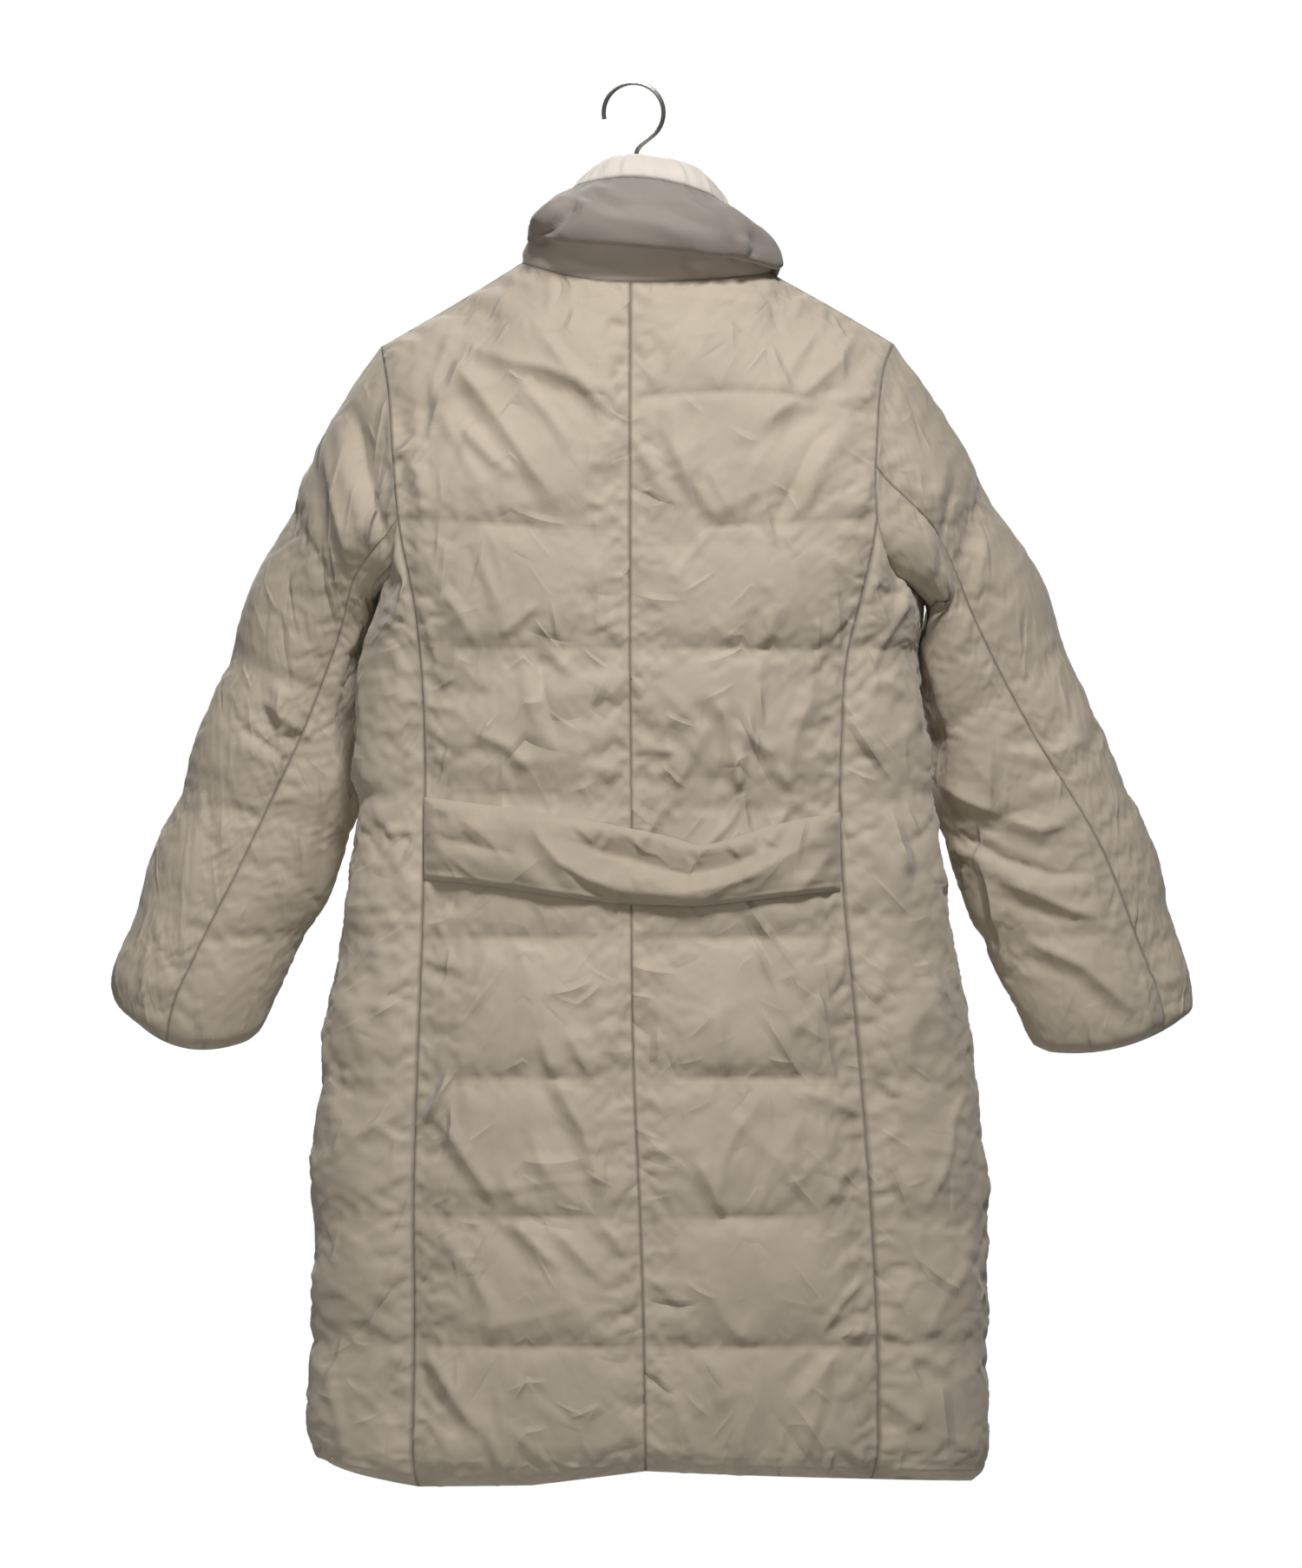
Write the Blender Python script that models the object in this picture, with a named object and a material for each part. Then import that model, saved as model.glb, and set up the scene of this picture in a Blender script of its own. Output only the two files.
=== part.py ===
"""A long padded coat with a half belt, hung on a wire-hook hanger, as closed solids in metres.

The origin is the top of the hook's inside, where it hangs on a rail. +Z is up, +Y is the
coat's back and +X the wearer's left. Every cloth piece is a wall: its base surface is a net of
rows and columns, its inside lies a plain distance under the base, and its outside is raised by
the padding between the seams and the quilting lines.
"""

import math

import bpy
import numpy as np
from mathutils import Vector
from mathutils.bvhtree import BVHTree

# ---- driving sizes ----
SEAM_GAP = 0.0003  # between two pieces that are sewn together
LINING = 0.0025  # from the base surface to the plain inside
SHELL = 0.0015  # from the base surface to the outside, along a seam
QUILT_LIFT = 0.0045  # padding left under a quilting line, away from the seams
BODY_PADDING = 0.0085  # more padding at the middle of a body channel
SLEEVE_QUILT = 0.0030  # the same two for the sleeves
SLEEVE_PADDING = 0.0060
SEAM_EASE = 0.045  # how far from a seam the padding reaches its full height
SIDE_ALLOWANCE = 0.004  # the outline's padding, taken off to find the side seams

BACK_HALF = 8  # columns from the centre back to a princess seam
SIDE = 4  # columns from a princess seam to a side seam
YOKE = 8  # rows from the shoulder to the top of a princess seam
CHANNEL = 4  # rows in each quilted channel
HEM_STEPS = (0.27, 0.52, 0.74, 0.90, 1.0)  # rows from the last quilting line to the hem
HEM_TURN = (0.0, 0.0, 0.0, 0.004, 0.011)  # how far each of those rows turns in

QUILT_LINES = (-0.2697, -0.3835, -0.4811, -0.6038, -0.7250, -0.8425, -0.9592, -1.0679)
BACK_NECK = (0.0030, 0.055, -0.1707)
FRONT_NECK = (-0.0060, -0.085, -0.2360)
CLOTH_COLOUR = (0.52, 0.455, 0.365, 1.0)


def table(names, rows):
    """A short table's columns by name, as arrays."""
    return dict(zip(names.split(), np.array(rows, float).T))


# The body's outline and seams at each height, and how deep it is there.
BODY = table(
    "z left left_princess centre right_princess right back princess_back front princess_front",
    [
        (-1.1765, 0.2779, 0.1862, -0.0103, -0.2062, -0.3015, 0.112, 0.084, 0.115, 0.088),
        (-1.0324, 0.2727, 0.1840, -0.0081, -0.2040, -0.3005, 0.111, 0.083, 0.114, 0.087),
        (-0.9489, 0.2742, 0.1850, -0.0052, -0.1995, -0.3015, 0.110, 0.082, 0.113, 0.086),
        (-0.8513, 0.2668, 0.1825, -0.0007, -0.1921, -0.2926, 0.106, 0.079, 0.110, 0.083),
        (-0.7479, 0.2535, 0.1788, 0.0015, -0.1825, -0.2771, 0.100, 0.074, 0.105, 0.079),
        (-0.6370, 0.2357, 0.1760, 0.0015, -0.1740, -0.2594, 0.095, 0.068, 0.101, 0.074),
        (-0.5631, 0.2357, 0.1760, 0.0022, -0.1750, -0.2520, 0.096, 0.068, 0.103, 0.074),
        (-0.4818, 0.2284, 0.1803, 0.0030, -0.1811, -0.2424, 0.100, 0.072, 0.107, 0.076),
        (-0.4449, 0.2202, 0.1845, 0.0030, -0.1900, -0.2475, 0.101, 0.074, 0.108, 0.076),
        (-0.3717, 0.2130, 0.1985, 0.0030, -0.2055, -0.2500, 0.099, 0.075, 0.106, 0.073),
        (-0.2697, 0.2130, 0.1985, 0.0030, -0.2055, -0.2500, 0.087, 0.075, 0.093, 0.073),
        (-0.1707, 0.2130, 0.1985, 0.0030, -0.2055, -0.2500, 0.055, 0.075, 0.060, 0.073),
    ],
)
# How low the hem hangs along the back and the front, by column from the centre to the side.
HEM = table(
    "column back_left back_right front_left front_right",
    [
        (0, -1.1715, -1.1715, -1.1850, -1.1850),
        (4, -1.1840, -1.1760, -1.1850, -1.1840),
        (8, -1.1865, -1.1800, -1.1830, -1.1850),
        (12, -1.1640, -1.1870, -1.1640, -1.1870),
    ],
)
# Each side's shoulder point, neck point and underarm.
SHOULDER_TIP = {1: (0.2140, 0.0, -0.2240), -1: (-0.2205, 0.0, -0.2215)}
NECK_POINT = {1: (0.0939, 0.0, -0.1525), -1: (-0.1150, 0.0, -0.1610)}
UNDERARM = {1: (0.2143, 0.0, -0.4242), -1: (-0.2440, 0.0, -0.4260)}
SHOULDER_SAG = {1: 0.001, -1: -0.001}
ARMHOLE = {
    1: table(
        "z back_x back_y front_x front_y",
        [
            (-0.2240, 0.2140, 0.000, 0.2140, 0.000),
            (-0.2400, 0.2110, 0.026, 0.2085, -0.026),
            (-0.2650, 0.2070, 0.046, 0.2020, -0.046),
            (-0.3000, 0.2045, 0.061, 0.1960, -0.061),
            (-0.3400, 0.2015, 0.071, 0.1915, -0.070),
            (-0.3717, 0.1985, 0.075, 0.1900, -0.073),
        ],
    ),
    -1: table(
        "z back_x back_y front_x front_y",
        [
            (-0.2215, -0.2205, 0.000, -0.2205, 0.000),
            (-0.2400, -0.2130, 0.026, -0.2120, -0.026),
            (-0.2650, -0.2085, 0.046, -0.2050, -0.046),
            (-0.3000, -0.2060, 0.061, -0.1990, -0.061),
            (-0.3400, -0.2040, 0.071, -0.1950, -0.070),
            (-0.3717, -0.2055, 0.075, -0.1945, -0.073),
        ],
    ),
}
SIDE_START = math.radians(18)  # where on its oval a side panel begins, at the princess seam
FRONT_LAP = {1: (0.066, 3), -1: (0.050, 2)}  # how far each front runs past the centre, and columns
LAP_STEP = 0.0078  # how far the upper front lies outside the lower one
LAP_BLEND = 0.040
LAP_DROP = 0.6  # the share of a row by which a lap's top stays below the other front's neck
LAP_LIFT = 0.0030  # the fronts' padding where they lap
UNDERARM_EASE = 0.100  # over this depth the padding under the arm is squeezed between two layers

# The largest folds of the back: from a point to a point, how high and how wide.
FOLDS = table(
    "x1 z1 x2 z2 height width",
    [
        (-0.102, -0.298, -0.192, -0.204, 0.0060, 0.016),
        (-0.112, -0.389, -0.181, -0.283, -0.0040, 0.015),
        (0.166, -0.211, 0.059, -0.364, 0.0050, 0.016),
        (0.163, -0.214, 0.008, -0.296, 0.0040, 0.014),
        (0.087, -0.459, 0.061, -0.568, -0.0040, 0.014),
        (-0.061, -0.515, -0.093, -0.614, 0.0040, 0.014),
        (0.162, -0.879, 0.114, -0.950, 0.0040, 0.016),
        (0.081, -0.800, 0.025, -0.944, 0.0040, 0.015),
        (0.110, -0.954, 0.061, -1.004, 0.0035, 0.015),
        (-0.127, -0.758, -0.152, -0.802, -0.0035, 0.015),
        (-0.051, -0.906, -0.084, -0.970, 0.0040, 0.015),
        (-0.202, -1.043, -0.138, -1.116, 0.0045, 0.015),
        (0.182, -1.060, 0.127, -1.146, 0.0040, 0.015),
        (-0.208, -0.503, -0.243, -0.548, 0.0040, 0.014),
    ],
)

# Each sleeve's rings: the outer and the inner edge, half depth, how far back its middle lies,
# how far its faces droop below its edges, and the angles of its back and front seam, from the
# outer edge round by the back.
RING_COLUMNS = (
    "outer_x outer_z inner_x inner_z half_depth middle_y droop back_seam front_seam"
)
SLEEVE = {
    1: table(
        RING_COLUMNS,
        [
            (0.2158, -0.2217, 0.2143, -0.4242, 0.075, 0.000, 0.000, 122, 225),
            (0.2609, -0.2971, 0.2270, -0.4500, 0.072, -0.020, 0.000, 122, 232),
            (0.3126, -0.4005, 0.2290, -0.5025, 0.064, -0.046, 0.000, 116, 236),
            (0.3459, -0.4833, 0.2300, -0.5528, 0.060, -0.053, 0.000, 107, 238),
            (0.3784, -0.5690, 0.2345, -0.6163, 0.057, -0.055, 0.000, 94, 238),
            (0.4079, -0.6481, 0.2590, -0.6814, 0.055, -0.055, 0.002, 88, 236),
            (0.4360, -0.7272, 0.2941, -0.7494, 0.052, -0.054, 0.007, 82, 232),
            (0.4456, -0.7600, 0.3110, -0.7830, 0.049, -0.054, 0.012, 79, 230),
            (0.4440, -0.7860, 0.3225, -0.8180, 0.044, -0.054, 0.017, 77, 228),
        ],
    ),
    -1: table(
        RING_COLUMNS,
        [
            (-0.2224, -0.2187, -0.2440, -0.4260, 0.075, 0.000, 0.000, 95, 208),
            (-0.2616, -0.2793, -0.2650, -0.4540, 0.072, -0.020, 0.000, 94, 208),
            (-0.3030, -0.3429, -0.2520, -0.5003, 0.066, -0.046, 0.000, 90, 208),
            (-0.3481, -0.4264, -0.2470, -0.5469, 0.062, -0.053, 0.000, 84, 208),
            (-0.3939, -0.5336, -0.2520, -0.6001, 0.058, -0.055, 0.000, 72, 207),
            (-0.4397, -0.6370, -0.2750, -0.6740, 0.056, -0.055, 0.002, 58, 203),
            (-0.4641, -0.7220, -0.3080, -0.7508, 0.053, -0.054, 0.005, 52, 198),
            (-0.4744, -0.7590, -0.3245, -0.7840, 0.050, -0.054, 0.008, 49, 195),
            (-0.4789, -0.7930, -0.3445, -0.8260, 0.045, -0.054, 0.010, 47, 193),
        ],
    ),
}
SLEEVE_SEAMS = {1: (8, 15), -1: (6, 14)}  # the columns of the back and the front seam
SLEEVE_CHANNELS = 5
SLEEVE_ROWS = 3  # rows in each channel of a sleeve
SLEEVE_OUTLINE = 0.0065  # the outline's padding, taken off to find the rings
HEAD_FADE = 0.36  # the share of the sleeve over which the armhole's shape fades at the top
UNDERARM_FADE = 0.10  # and at the underarm
UNDERARM_SHARE = 0.35  # the share over which the under sleeve's padding is squeezed
ARM_CLEARANCE = 0.0040  # from a sleeve's padding to the body's, from this far under the arm
ARM_RAMP = 0.012
CUFF_TURN = 0.006

# The collar's section from the neck seam over the top and down inside: height, how far out the
# plain collar is, and what the slumped roll adds. The last outer row is the edge seam.
COLLAR_OUT = table(
    "up out roll",
    [
        (0.012, 0.002, 0.000),
        (0.023, 0.001, 0.002),
        (0.029, 0.000, 0.010),
        (0.032, 0.000, 0.021),
        (0.040, 0.000, 0.029),
        (0.054, 0.000, 0.031),
        (0.069, -0.002, 0.026),
        (0.081, -0.006, 0.017),
        (0.089, -0.010, 0.010),
    ],
)
COLLAR_MIDDLE = table(
    "up out",
    [
        (0.012, -0.006),
        (0.023, -0.009),
        (0.030, -0.011),
        (0.037, -0.012),
        (0.046, -0.012),
        (0.057, -0.012),
        (0.068, -0.013),
        (0.077, -0.014),
        (0.083, -0.017),
    ],
)
COLLAR_IN = table(
    "up out roll",
    [
        (0.099, -0.014, 0.004),
        (0.105, -0.021, 0.000),
        (0.104, -0.030, -0.002),
        (0.092, -0.037, 0.000),
        (0.066, -0.034, 0.000),
        (0.038, -0.024, 0.000),
        (0.014, -0.011, 0.000),
    ],
)
# Along the neck, from the right front edge (-8) over the centre back (0) to the left one (8):
# how tall the collar stands, how much of the roll it has and how far its top leans in.
COLLAR_ALONG = table(
    "column height roll lean",
    [
        (-8.0, 0.95, 0.10, 0.002),
        (-6.0, 0.85, 0.20, 0.016),
        (-4.6, 0.62, 0.40, 0.030),
        (-3.4, 0.64, 0.72, 0.022),
        (-2.0, 0.84, 1.00, 0.008),
        (0.0, 1.00, 1.00, 0.000),
        (2.0, 0.89, 1.00, 0.008),
        (3.2, 0.72, 0.55, 0.020),
        (4.4, 0.66, 0.15, 0.032),
        (6.0, 0.85, 0.15, 0.016),
        (8.0, 0.95, 0.10, 0.002),
    ],
)
COLLAR_TALL = 0.105
COLLAR_OPENING = 0.0020  # from each front edge of the collar to the centre front

# The half belt's upper and lower edge, from the left princess seam to the right one.
BELT = table(
    "x top bottom stand_off",
    [
        (0.1752, -0.6060, -0.6755, 0.0000),
        (0.1300, -0.6115, -0.6800, 0.0010),
        (0.0700, -0.6200, -0.6885, 0.0030),
        (0.0190, -0.6290, -0.6950, 0.0050),
        (-0.0370, -0.6410, -0.6975, 0.0070),
        (-0.0540, -0.6460, -0.6975, 0.0075),
        (-0.0820, -0.6405, -0.6950, 0.0060),
        (-0.1200, -0.6290, -0.6905, 0.0030),
        (-0.1715, -0.6185, -0.6850, 0.0000),
    ],
)
BELT_COLUMNS = 18
# The belt's section from its lower to its upper edge: how thick, with a roll along the top.
BELT_SECTION = table(
    "at thick",
    [
        (0.00, 0.0030),
        (0.10, 0.0085),
        (0.30, 0.0130),
        (0.52, 0.0115),
        (0.70, 0.0070),
        (0.84, 0.0100),
        (0.95, 0.0080),
        (1.00, 0.0035),
    ],
)
BELT_CLEARANCE = 0.0006

WIRE_RADIUS = 0.00185
HOOK_RADIUS = 0.0255
HOOK_START = math.radians(192)  # the wire's tip, round over the top from the right
HOOK_END = math.radians(-35)
STEM_X = -0.0022
STEM_BEND_Z = -0.060
BAR_HALF_LENGTH = 0.185
BAR_PEAK = -0.128
BAR_HALF_WIDTH = 0.008
BAR_HALF_HEIGHT = 0.011
BAR_SECTIONS = 19
BAR_TIP = 0.55  # how thin the tips are, as a share


# ---- curves and tables ----
def smooth(knots, values, at):
    """A cubic curve through a table's column, read at one or many places."""
    order = np.argsort(knots)
    knots, values = np.asarray(knots)[order], np.asarray(values)[order]
    slopes = np.gradient(values, knots)
    at = np.clip(at, knots[0], knots[-1])
    i = np.clip(np.searchsorted(knots, at) - 1, 0, len(knots) - 2)
    width = knots[i + 1] - knots[i]
    t = (at - knots[i]) / width
    return (
        values[i] * (1 + 2 * t) * (1 - t) ** 2
        + slopes[i] * width * t * (1 - t) ** 2
        + values[i + 1] * t * t * (3 - 2 * t)
        + slopes[i + 1] * width * t * t * (t - 1)
    )


def body(column, z):
    return smooth(BODY["z"], BODY[column], z)


def mix(a, b, share):
    return np.asarray(a, float) * (1 - share) + np.asarray(b, float) * share


def evenly(points, count):
    """The polyline's points at equal distances along it, ends kept."""
    points = np.asarray(points, float)
    along = np.concatenate([[0], np.cumsum(np.linalg.norm(np.diff(points, axis=0), axis=1))])
    at = np.linspace(0, along[-1], count + 1)
    return np.stack([np.interp(at, along, points[:, i]) for i in range(3)], axis=1)


# ---- lines that pieces share ----
def row_heights(side, face, column):
    """The heights of one column's rows from the first quilting line below the yoke to the hem."""
    heights = []
    for upper, lower in zip(QUILT_LINES[1:], QUILT_LINES[2:]):
        heights += [upper + (lower - upper) * i / CHANNEL for i in range(CHANNEL)]
    heights.append(QUILT_LINES[-1])
    name = f"{face}_{'left' if side > 0 else 'right'}"
    hem = float(np.interp(column, HEM["column"], HEM[name]))
    return heights + [QUILT_LINES[-1] + (hem - QUILT_LINES[-1]) * share for share in HEM_STEPS]


def armhole_upper(side, face):
    """From the shoulder point down one face of the armhole to the princess seam's top."""
    rows = ARMHOLE[side]
    z = np.linspace(rows["z"][0], rows["z"][-1], 60)
    x = smooth(rows["z"], rows[f"{face}_x"], z)
    y = smooth(rows["z"], rows[f"{face}_y"], z)
    return evenly(np.stack([x, y, z], axis=1), YOKE)


def armhole_lower(side, face):
    """From the princess seam's top to the underarm."""
    top, end = armhole_upper(side, face)[-1], np.array(UNDERARM[side])
    points = []
    for angle in np.linspace(0, math.pi / 2, 40):
        across = 1 - math.cos(angle)
        points.append(
            (
                top[0] + (end[0] - top[0]) * across,
                top[1] * math.cos(angle),
                top[2] + (end[2] - top[2]) * math.sin(angle),
            )
        )
    return evenly(points, SIDE)


def neck_line(side, face):
    """From the centre of the neck to the neck point, in half as many columns as the yoke has."""
    centre = np.array(BACK_NECK if face == "back" else FRONT_NECK)
    end = np.array(NECK_POINT[side])
    points = []
    for angle in np.linspace(0, math.pi / 2, 40):
        points.append(
            (
                centre[0] + (end[0] - centre[0]) * math.sin(angle),
                centre[1] * math.cos(angle),
                centre[2] + (end[2] - centre[2]) * (1 - math.cos(angle)),
            )
        )
    return evenly(points, BACK_HALF // 2)


def shoulder_line(side):
    share = np.linspace(0, 1, BACK_HALF // 2 + 1)
    line = np.array([mix(NECK_POINT[side], SHOULDER_TIP[side], s) for s in share])
    line[:, 2] -= SHOULDER_SAG[side] * np.sin(math.pi * share)
    return line


def top_line(side, face):
    """The upper edge of a half, from the centre of the neck to the shoulder point."""
    return np.concatenate([neck_line(side, face), shoulder_line(side)[1:]])


# ---- nets of base points ----
def centre_column(side, face):
    """The centre seam, or the centre front: the yoke's rows and then the quilted rows."""
    start = BACK_NECK if face == "back" else FRONT_NECK
    sign = 1 if face == "back" else -1
    yoke = list(np.linspace(start[2], QUILT_LINES[1], YOKE + 1))
    if face == "back":
        half = YOKE // 2
        yoke = list(np.linspace(start[2], QUILT_LINES[0], half + 1))
        yoke += list(np.linspace(QUILT_LINES[0], QUILT_LINES[1], half + 1))[1:]
    heights = np.array(yoke + row_heights(side, face, 0)[1:])
    depth = body(face, heights)
    if face == "front":
        share = np.clip((heights - QUILT_LINES[1]) / (start[2] - QUILT_LINES[1]), 0, 1)
        depth = depth * (1 - share) - start[1] * share
    points = np.stack([body("centre", heights), sign * depth, heights], axis=1)
    points[0] = start
    if face == "front":
        points[:YOKE, 0] = mix(start[0], points[YOKE, 0], np.linspace(0, 1, YOKE + 1)[:-1])
    return points


def princess_column(side, face):
    """The armhole's face and then the princess seam, or the front's matching line."""
    heights = np.array(row_heights(side, face, BACK_HALF))
    sign = 1 if face == "back" else -1
    name = "left_princess" if side > 0 else "right_princess"
    upper = armhole_upper(side, face)
    shift = (upper[-1, 2] - heights[0]) * np.clip(1 - np.arange(len(heights)) / CHANNEL, 0, 1)
    heights = heights + shift
    x = body(name, heights)
    x += (upper[-1, 0] - x[0]) * np.clip(1 - np.arange(len(heights)) / CHANNEL, 0, 1) ** 1.5
    y = sign * body(f"princess_{face}", heights)
    y += (upper[-1, 1] - y[0]) * np.clip(1 - np.arange(len(heights)) / CHANNEL, 0, 1) ** 1.5
    lower = np.stack([x, y, heights], axis=1)
    return np.concatenate([upper, lower[1:]])


def centre_net(side, face):
    """Rows by columns from the centre (first column) to the princess line (last column)."""
    centre, princess, top = (
        centre_column(side, face),
        princess_column(side, face),
        top_line(side, face),
    )
    shares = np.linspace(0, 1, BACK_HALF + 1)
    net = np.zeros((len(centre), BACK_HALF + 1, 3))
    for r in range(len(centre)):
        for c, share in enumerate(shares):
            point = mix(centre[r], princess[r], share)
            left = max(0.0, 1 - r / YOKE)
            arch = (centre[r, 1] - princess[r, 1]) * (share - share**2)
            point[1] += arch * (1 - left**2)
            away = top[c] - mix(top[0], top[-1], share)
            point += away * np.array([left**2, left**3, left**1.5])
            net[r, c] = point
    hems = [row_heights(side, face, c)[-1] for c in range(BACK_HALF + 1)]
    last = YOKE + CHANNEL * (len(QUILT_LINES) - 2)
    for c, hem in enumerate(hems):
        start = net[last, c, 2]
        for i, share in enumerate(HEM_STEPS):
            net[last + 1 + i, c, 2] = start + (hem - start) * share
    return net


def side_net(side, face):
    """Rows by columns from the princess line to the side seam, below the armhole."""
    name = "left" if side > 0 else "right"
    princess = princess_column(side, face)[YOKE:]
    top = armhole_lower(side, face)
    rows = len(princess)
    net = np.zeros((rows, SIDE + 1, 3))
    for c in range(SIDE + 1):
        share = c / SIDE
        angle = SIDE_START + (math.pi / 2 - SIDE_START) * share
        column_heights = row_heights(side, face, BACK_HALF + c)
        for r in range(rows):
            left = max(0.0, 1 - r / CHANNEL)
            z = column_heights[r] if left == 0 else 0.0
            if left > 0:
                z = mix(column_heights[CHANNEL], top[c, 2], left)
            if c == 0:
                net[r, c] = princess[r]
                continue
            seam_x = body(name, z) - side * SIDE_ALLOWANCE
            start = princess[r]
            reach = (seam_x - start[0]) / (1 - math.sin(SIDE_START))
            point = np.array(
                [
                    start[0] + reach * (math.sin(angle) - math.sin(SIDE_START)),
                    start[1] * math.cos(angle) / math.cos(SIDE_START),
                    z,
                ]
            )
            net[r, c] = mix(point, top[c], left**1.4)
            net[r, c, 2] = z
    net[0] = top
    return net


def turn_hem_in(net, middle_x):
    """Curls the last rows of a body net in towards its middle."""
    rows = len(net)
    for i, turn in enumerate(HEM_TURN):
        r = rows - len(HEM_TURN) + i
        inward = np.stack([middle_x - net[r, :, 0], -net[r, :, 1]], axis=1)
        # A flat oval's inside lies along its depth rather than along its width.
        inward[:, 0] *= 0.25
        inward /= np.linalg.norm(inward, axis=1)[:, None]
        net[r, :, :2] += inward * turn
    return net


def lap_net(side):
    """The front's columns past the centre front to its free edge, as the other front lies."""
    reach, columns = FRONT_LAP[side]
    other = centre_net(-side, "front")
    net = np.zeros((len(other), columns + 1, 3))
    for row, points in zip(net, other):
        away = np.abs(points[:, 0] - points[0, 0])
        for axis in range(3):
            row[:, axis] = np.interp(np.linspace(0, reach, columns + 1), away, points[:, axis])
    net[0, 1:] = mix(net[0, 1:], net[1, 1:], LAP_DROP)
    net[:, 0] = centre_column(side, "front")
    return net


def front_layer(side, x):
    """How far out the right front lies where it laps over the left one."""
    if side > 0:
        return 0.0
    edge = FRONT_NECK[0] - FRONT_LAP[1][0]
    share = np.clip((x - (edge - LAP_BLEND)) / LAP_BLEND, 0, 1)
    return LAP_STEP * share * share * (3 - 2 * share)


# ---- how far the padding raises the outside ----
def ease(distance, reach):
    share = np.clip(distance / reach, 0, 1)
    return np.sin(share * math.pi / 2)


def channel_rise(row, per_channel, first):
    """0 on a quilting line and 1 in the middle of a channel."""
    phase = ((row - first) % per_channel) / per_channel
    return math.sin(math.pi * phase) ** 0.8


def row_rise(row):
    """The rise of one body row, counted from the shoulder: the hem's channel ends rounded."""
    last = YOKE + CHANNEL * (len(QUILT_LINES) - 2)
    if row <= last:
        return QUILT_LIFT + BODY_PADDING * channel_rise(row, CHANNEL, 0)
    hem_rise = (0.85, 1.0, 0.9, 0.6, 0.0)[row - last - 1]
    return QUILT_LIFT * (hem_rise > 0) + BODY_PADDING * hem_rise


def fold_height(x, z):
    total = 0.0
    for x1, z1, x2, z2, height, width in zip(*(FOLDS[name] for name in FOLDS)):
        along = np.array([x2 - x1, z2 - z1])
        t = np.clip(np.dot([x - x1, z - z1], along) / np.dot(along, along), 0, 1)
        away = math.hypot(x - x1 - t * along[0], z - z1 - t * along[1])
        total += height * math.exp(-((away / width) ** 2))
    return total


def edge_distance(net, sewn):
    """Each point's distance along its row or column to the nearest sewn edge."""
    across = np.linalg.norm(np.diff(net, axis=1), axis=2)
    down = np.linalg.norm(np.diff(net, axis=0), axis=2)
    from_first = np.concatenate([np.zeros((len(net), 1)), np.cumsum(across, axis=1)], axis=1)
    from_last = from_first[:, -1:] - from_first
    from_top = np.concatenate([np.zeros((1, net.shape[1])), np.cumsum(down, axis=0)], axis=0)
    from_end = from_top[-1:] - from_top
    distance = np.full(net.shape[:2], 1.0)
    for name, values in zip(
        ("first", "last", "top", "end"), (from_first, from_last, from_top, from_end)
    ):
        if name in sewn:
            distance = np.minimum(distance, values)
    return distance


def body_lift(net, first_row, sewn, folded=False):
    distance = edge_distance(net, sewn)
    lift = np.zeros(net.shape[:2])
    for r in range(net.shape[0]):
        for c in range(net.shape[1]):
            height = row_rise(first_row + r)
            if folded:
                height += fold_height(net[r, c, 0], net[r, c, 2])
            lift[r, c] = SHELL + max(0.0, height) * ease(distance[r, c], SEAM_EASE)
    lift[-1] = SHELL
    return lift


def squeeze(lift, net, side):
    """Thins the padding towards the underarm, where body and sleeve press on each other."""
    below = np.linalg.norm(net - np.array(UNDERARM[side]), axis=2)
    return SHELL + (lift - SHELL) * np.maximum(0.04, ease(below, UNDERARM_EASE) ** 2)


# ---- pieces: nets with their lift, and the normals that sewn pieces share ----
class Net:
    """A grid of base points, the padding's lift at each, and a point inside each row."""

    def __init__(self, points, lift, inside):
        self.points, self.lift, self.inside = points, lift, inside

    def faces(self):
        rows, columns = self.points.shape[:2]
        return [
            (r * columns + c, r * columns + c + 1, (r + 1) * columns + c + 1, (r + 1) * columns + c)
            for r in range(rows - 1)
            for c in range(columns - 1)
        ]


def key(point):
    return tuple(np.round(np.asarray(point) * 1e6).astype(int))


def merged(nets):
    """One mesh from several nets: points, lifts and faces that turn outwards."""
    index, points, lifts, faces = {}, [], [], []
    for net in nets:
        flat, lift = net.points.reshape(-1, 3), net.lift.reshape(-1)
        columns = net.points.shape[1]
        ids = []
        for point, height in zip(flat, lift):
            name = key(point)
            if name not in index:
                index[name] = len(points)
                points.append(np.array(point))
                lifts.append(height)
            ids.append(index[name])
            lifts[index[name]] = max(lifts[index[name]], height)
        turn = 0.0
        for face in net.faces():
            a, b, c, d = (flat[i] for i in face)
            normal = np.cross(c - a, d - b)
            turn += np.dot(normal, (a + c) / 2 - net.inside[face[0] // columns])
        for face in net.faces():
            face = [ids[i] for i in (face if turn > 0 else face[::-1])]
            face = [v for i, v in enumerate(face) if v != face[i - 1]]
            if len(face) > 2:
                faces.append(face)
    return np.array(points), np.array(lifts), faces


def add_normals(normals, points, faces):
    for face in faces:
        a, b, c = points[face[0]], points[face[1]], points[face[2]]
        d = points[face[-1]]
        normal = np.cross(c - a, d - b)
        for v in face:
            normals[key(points[v])] = normals.get(key(points[v]), 0) + normal


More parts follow.
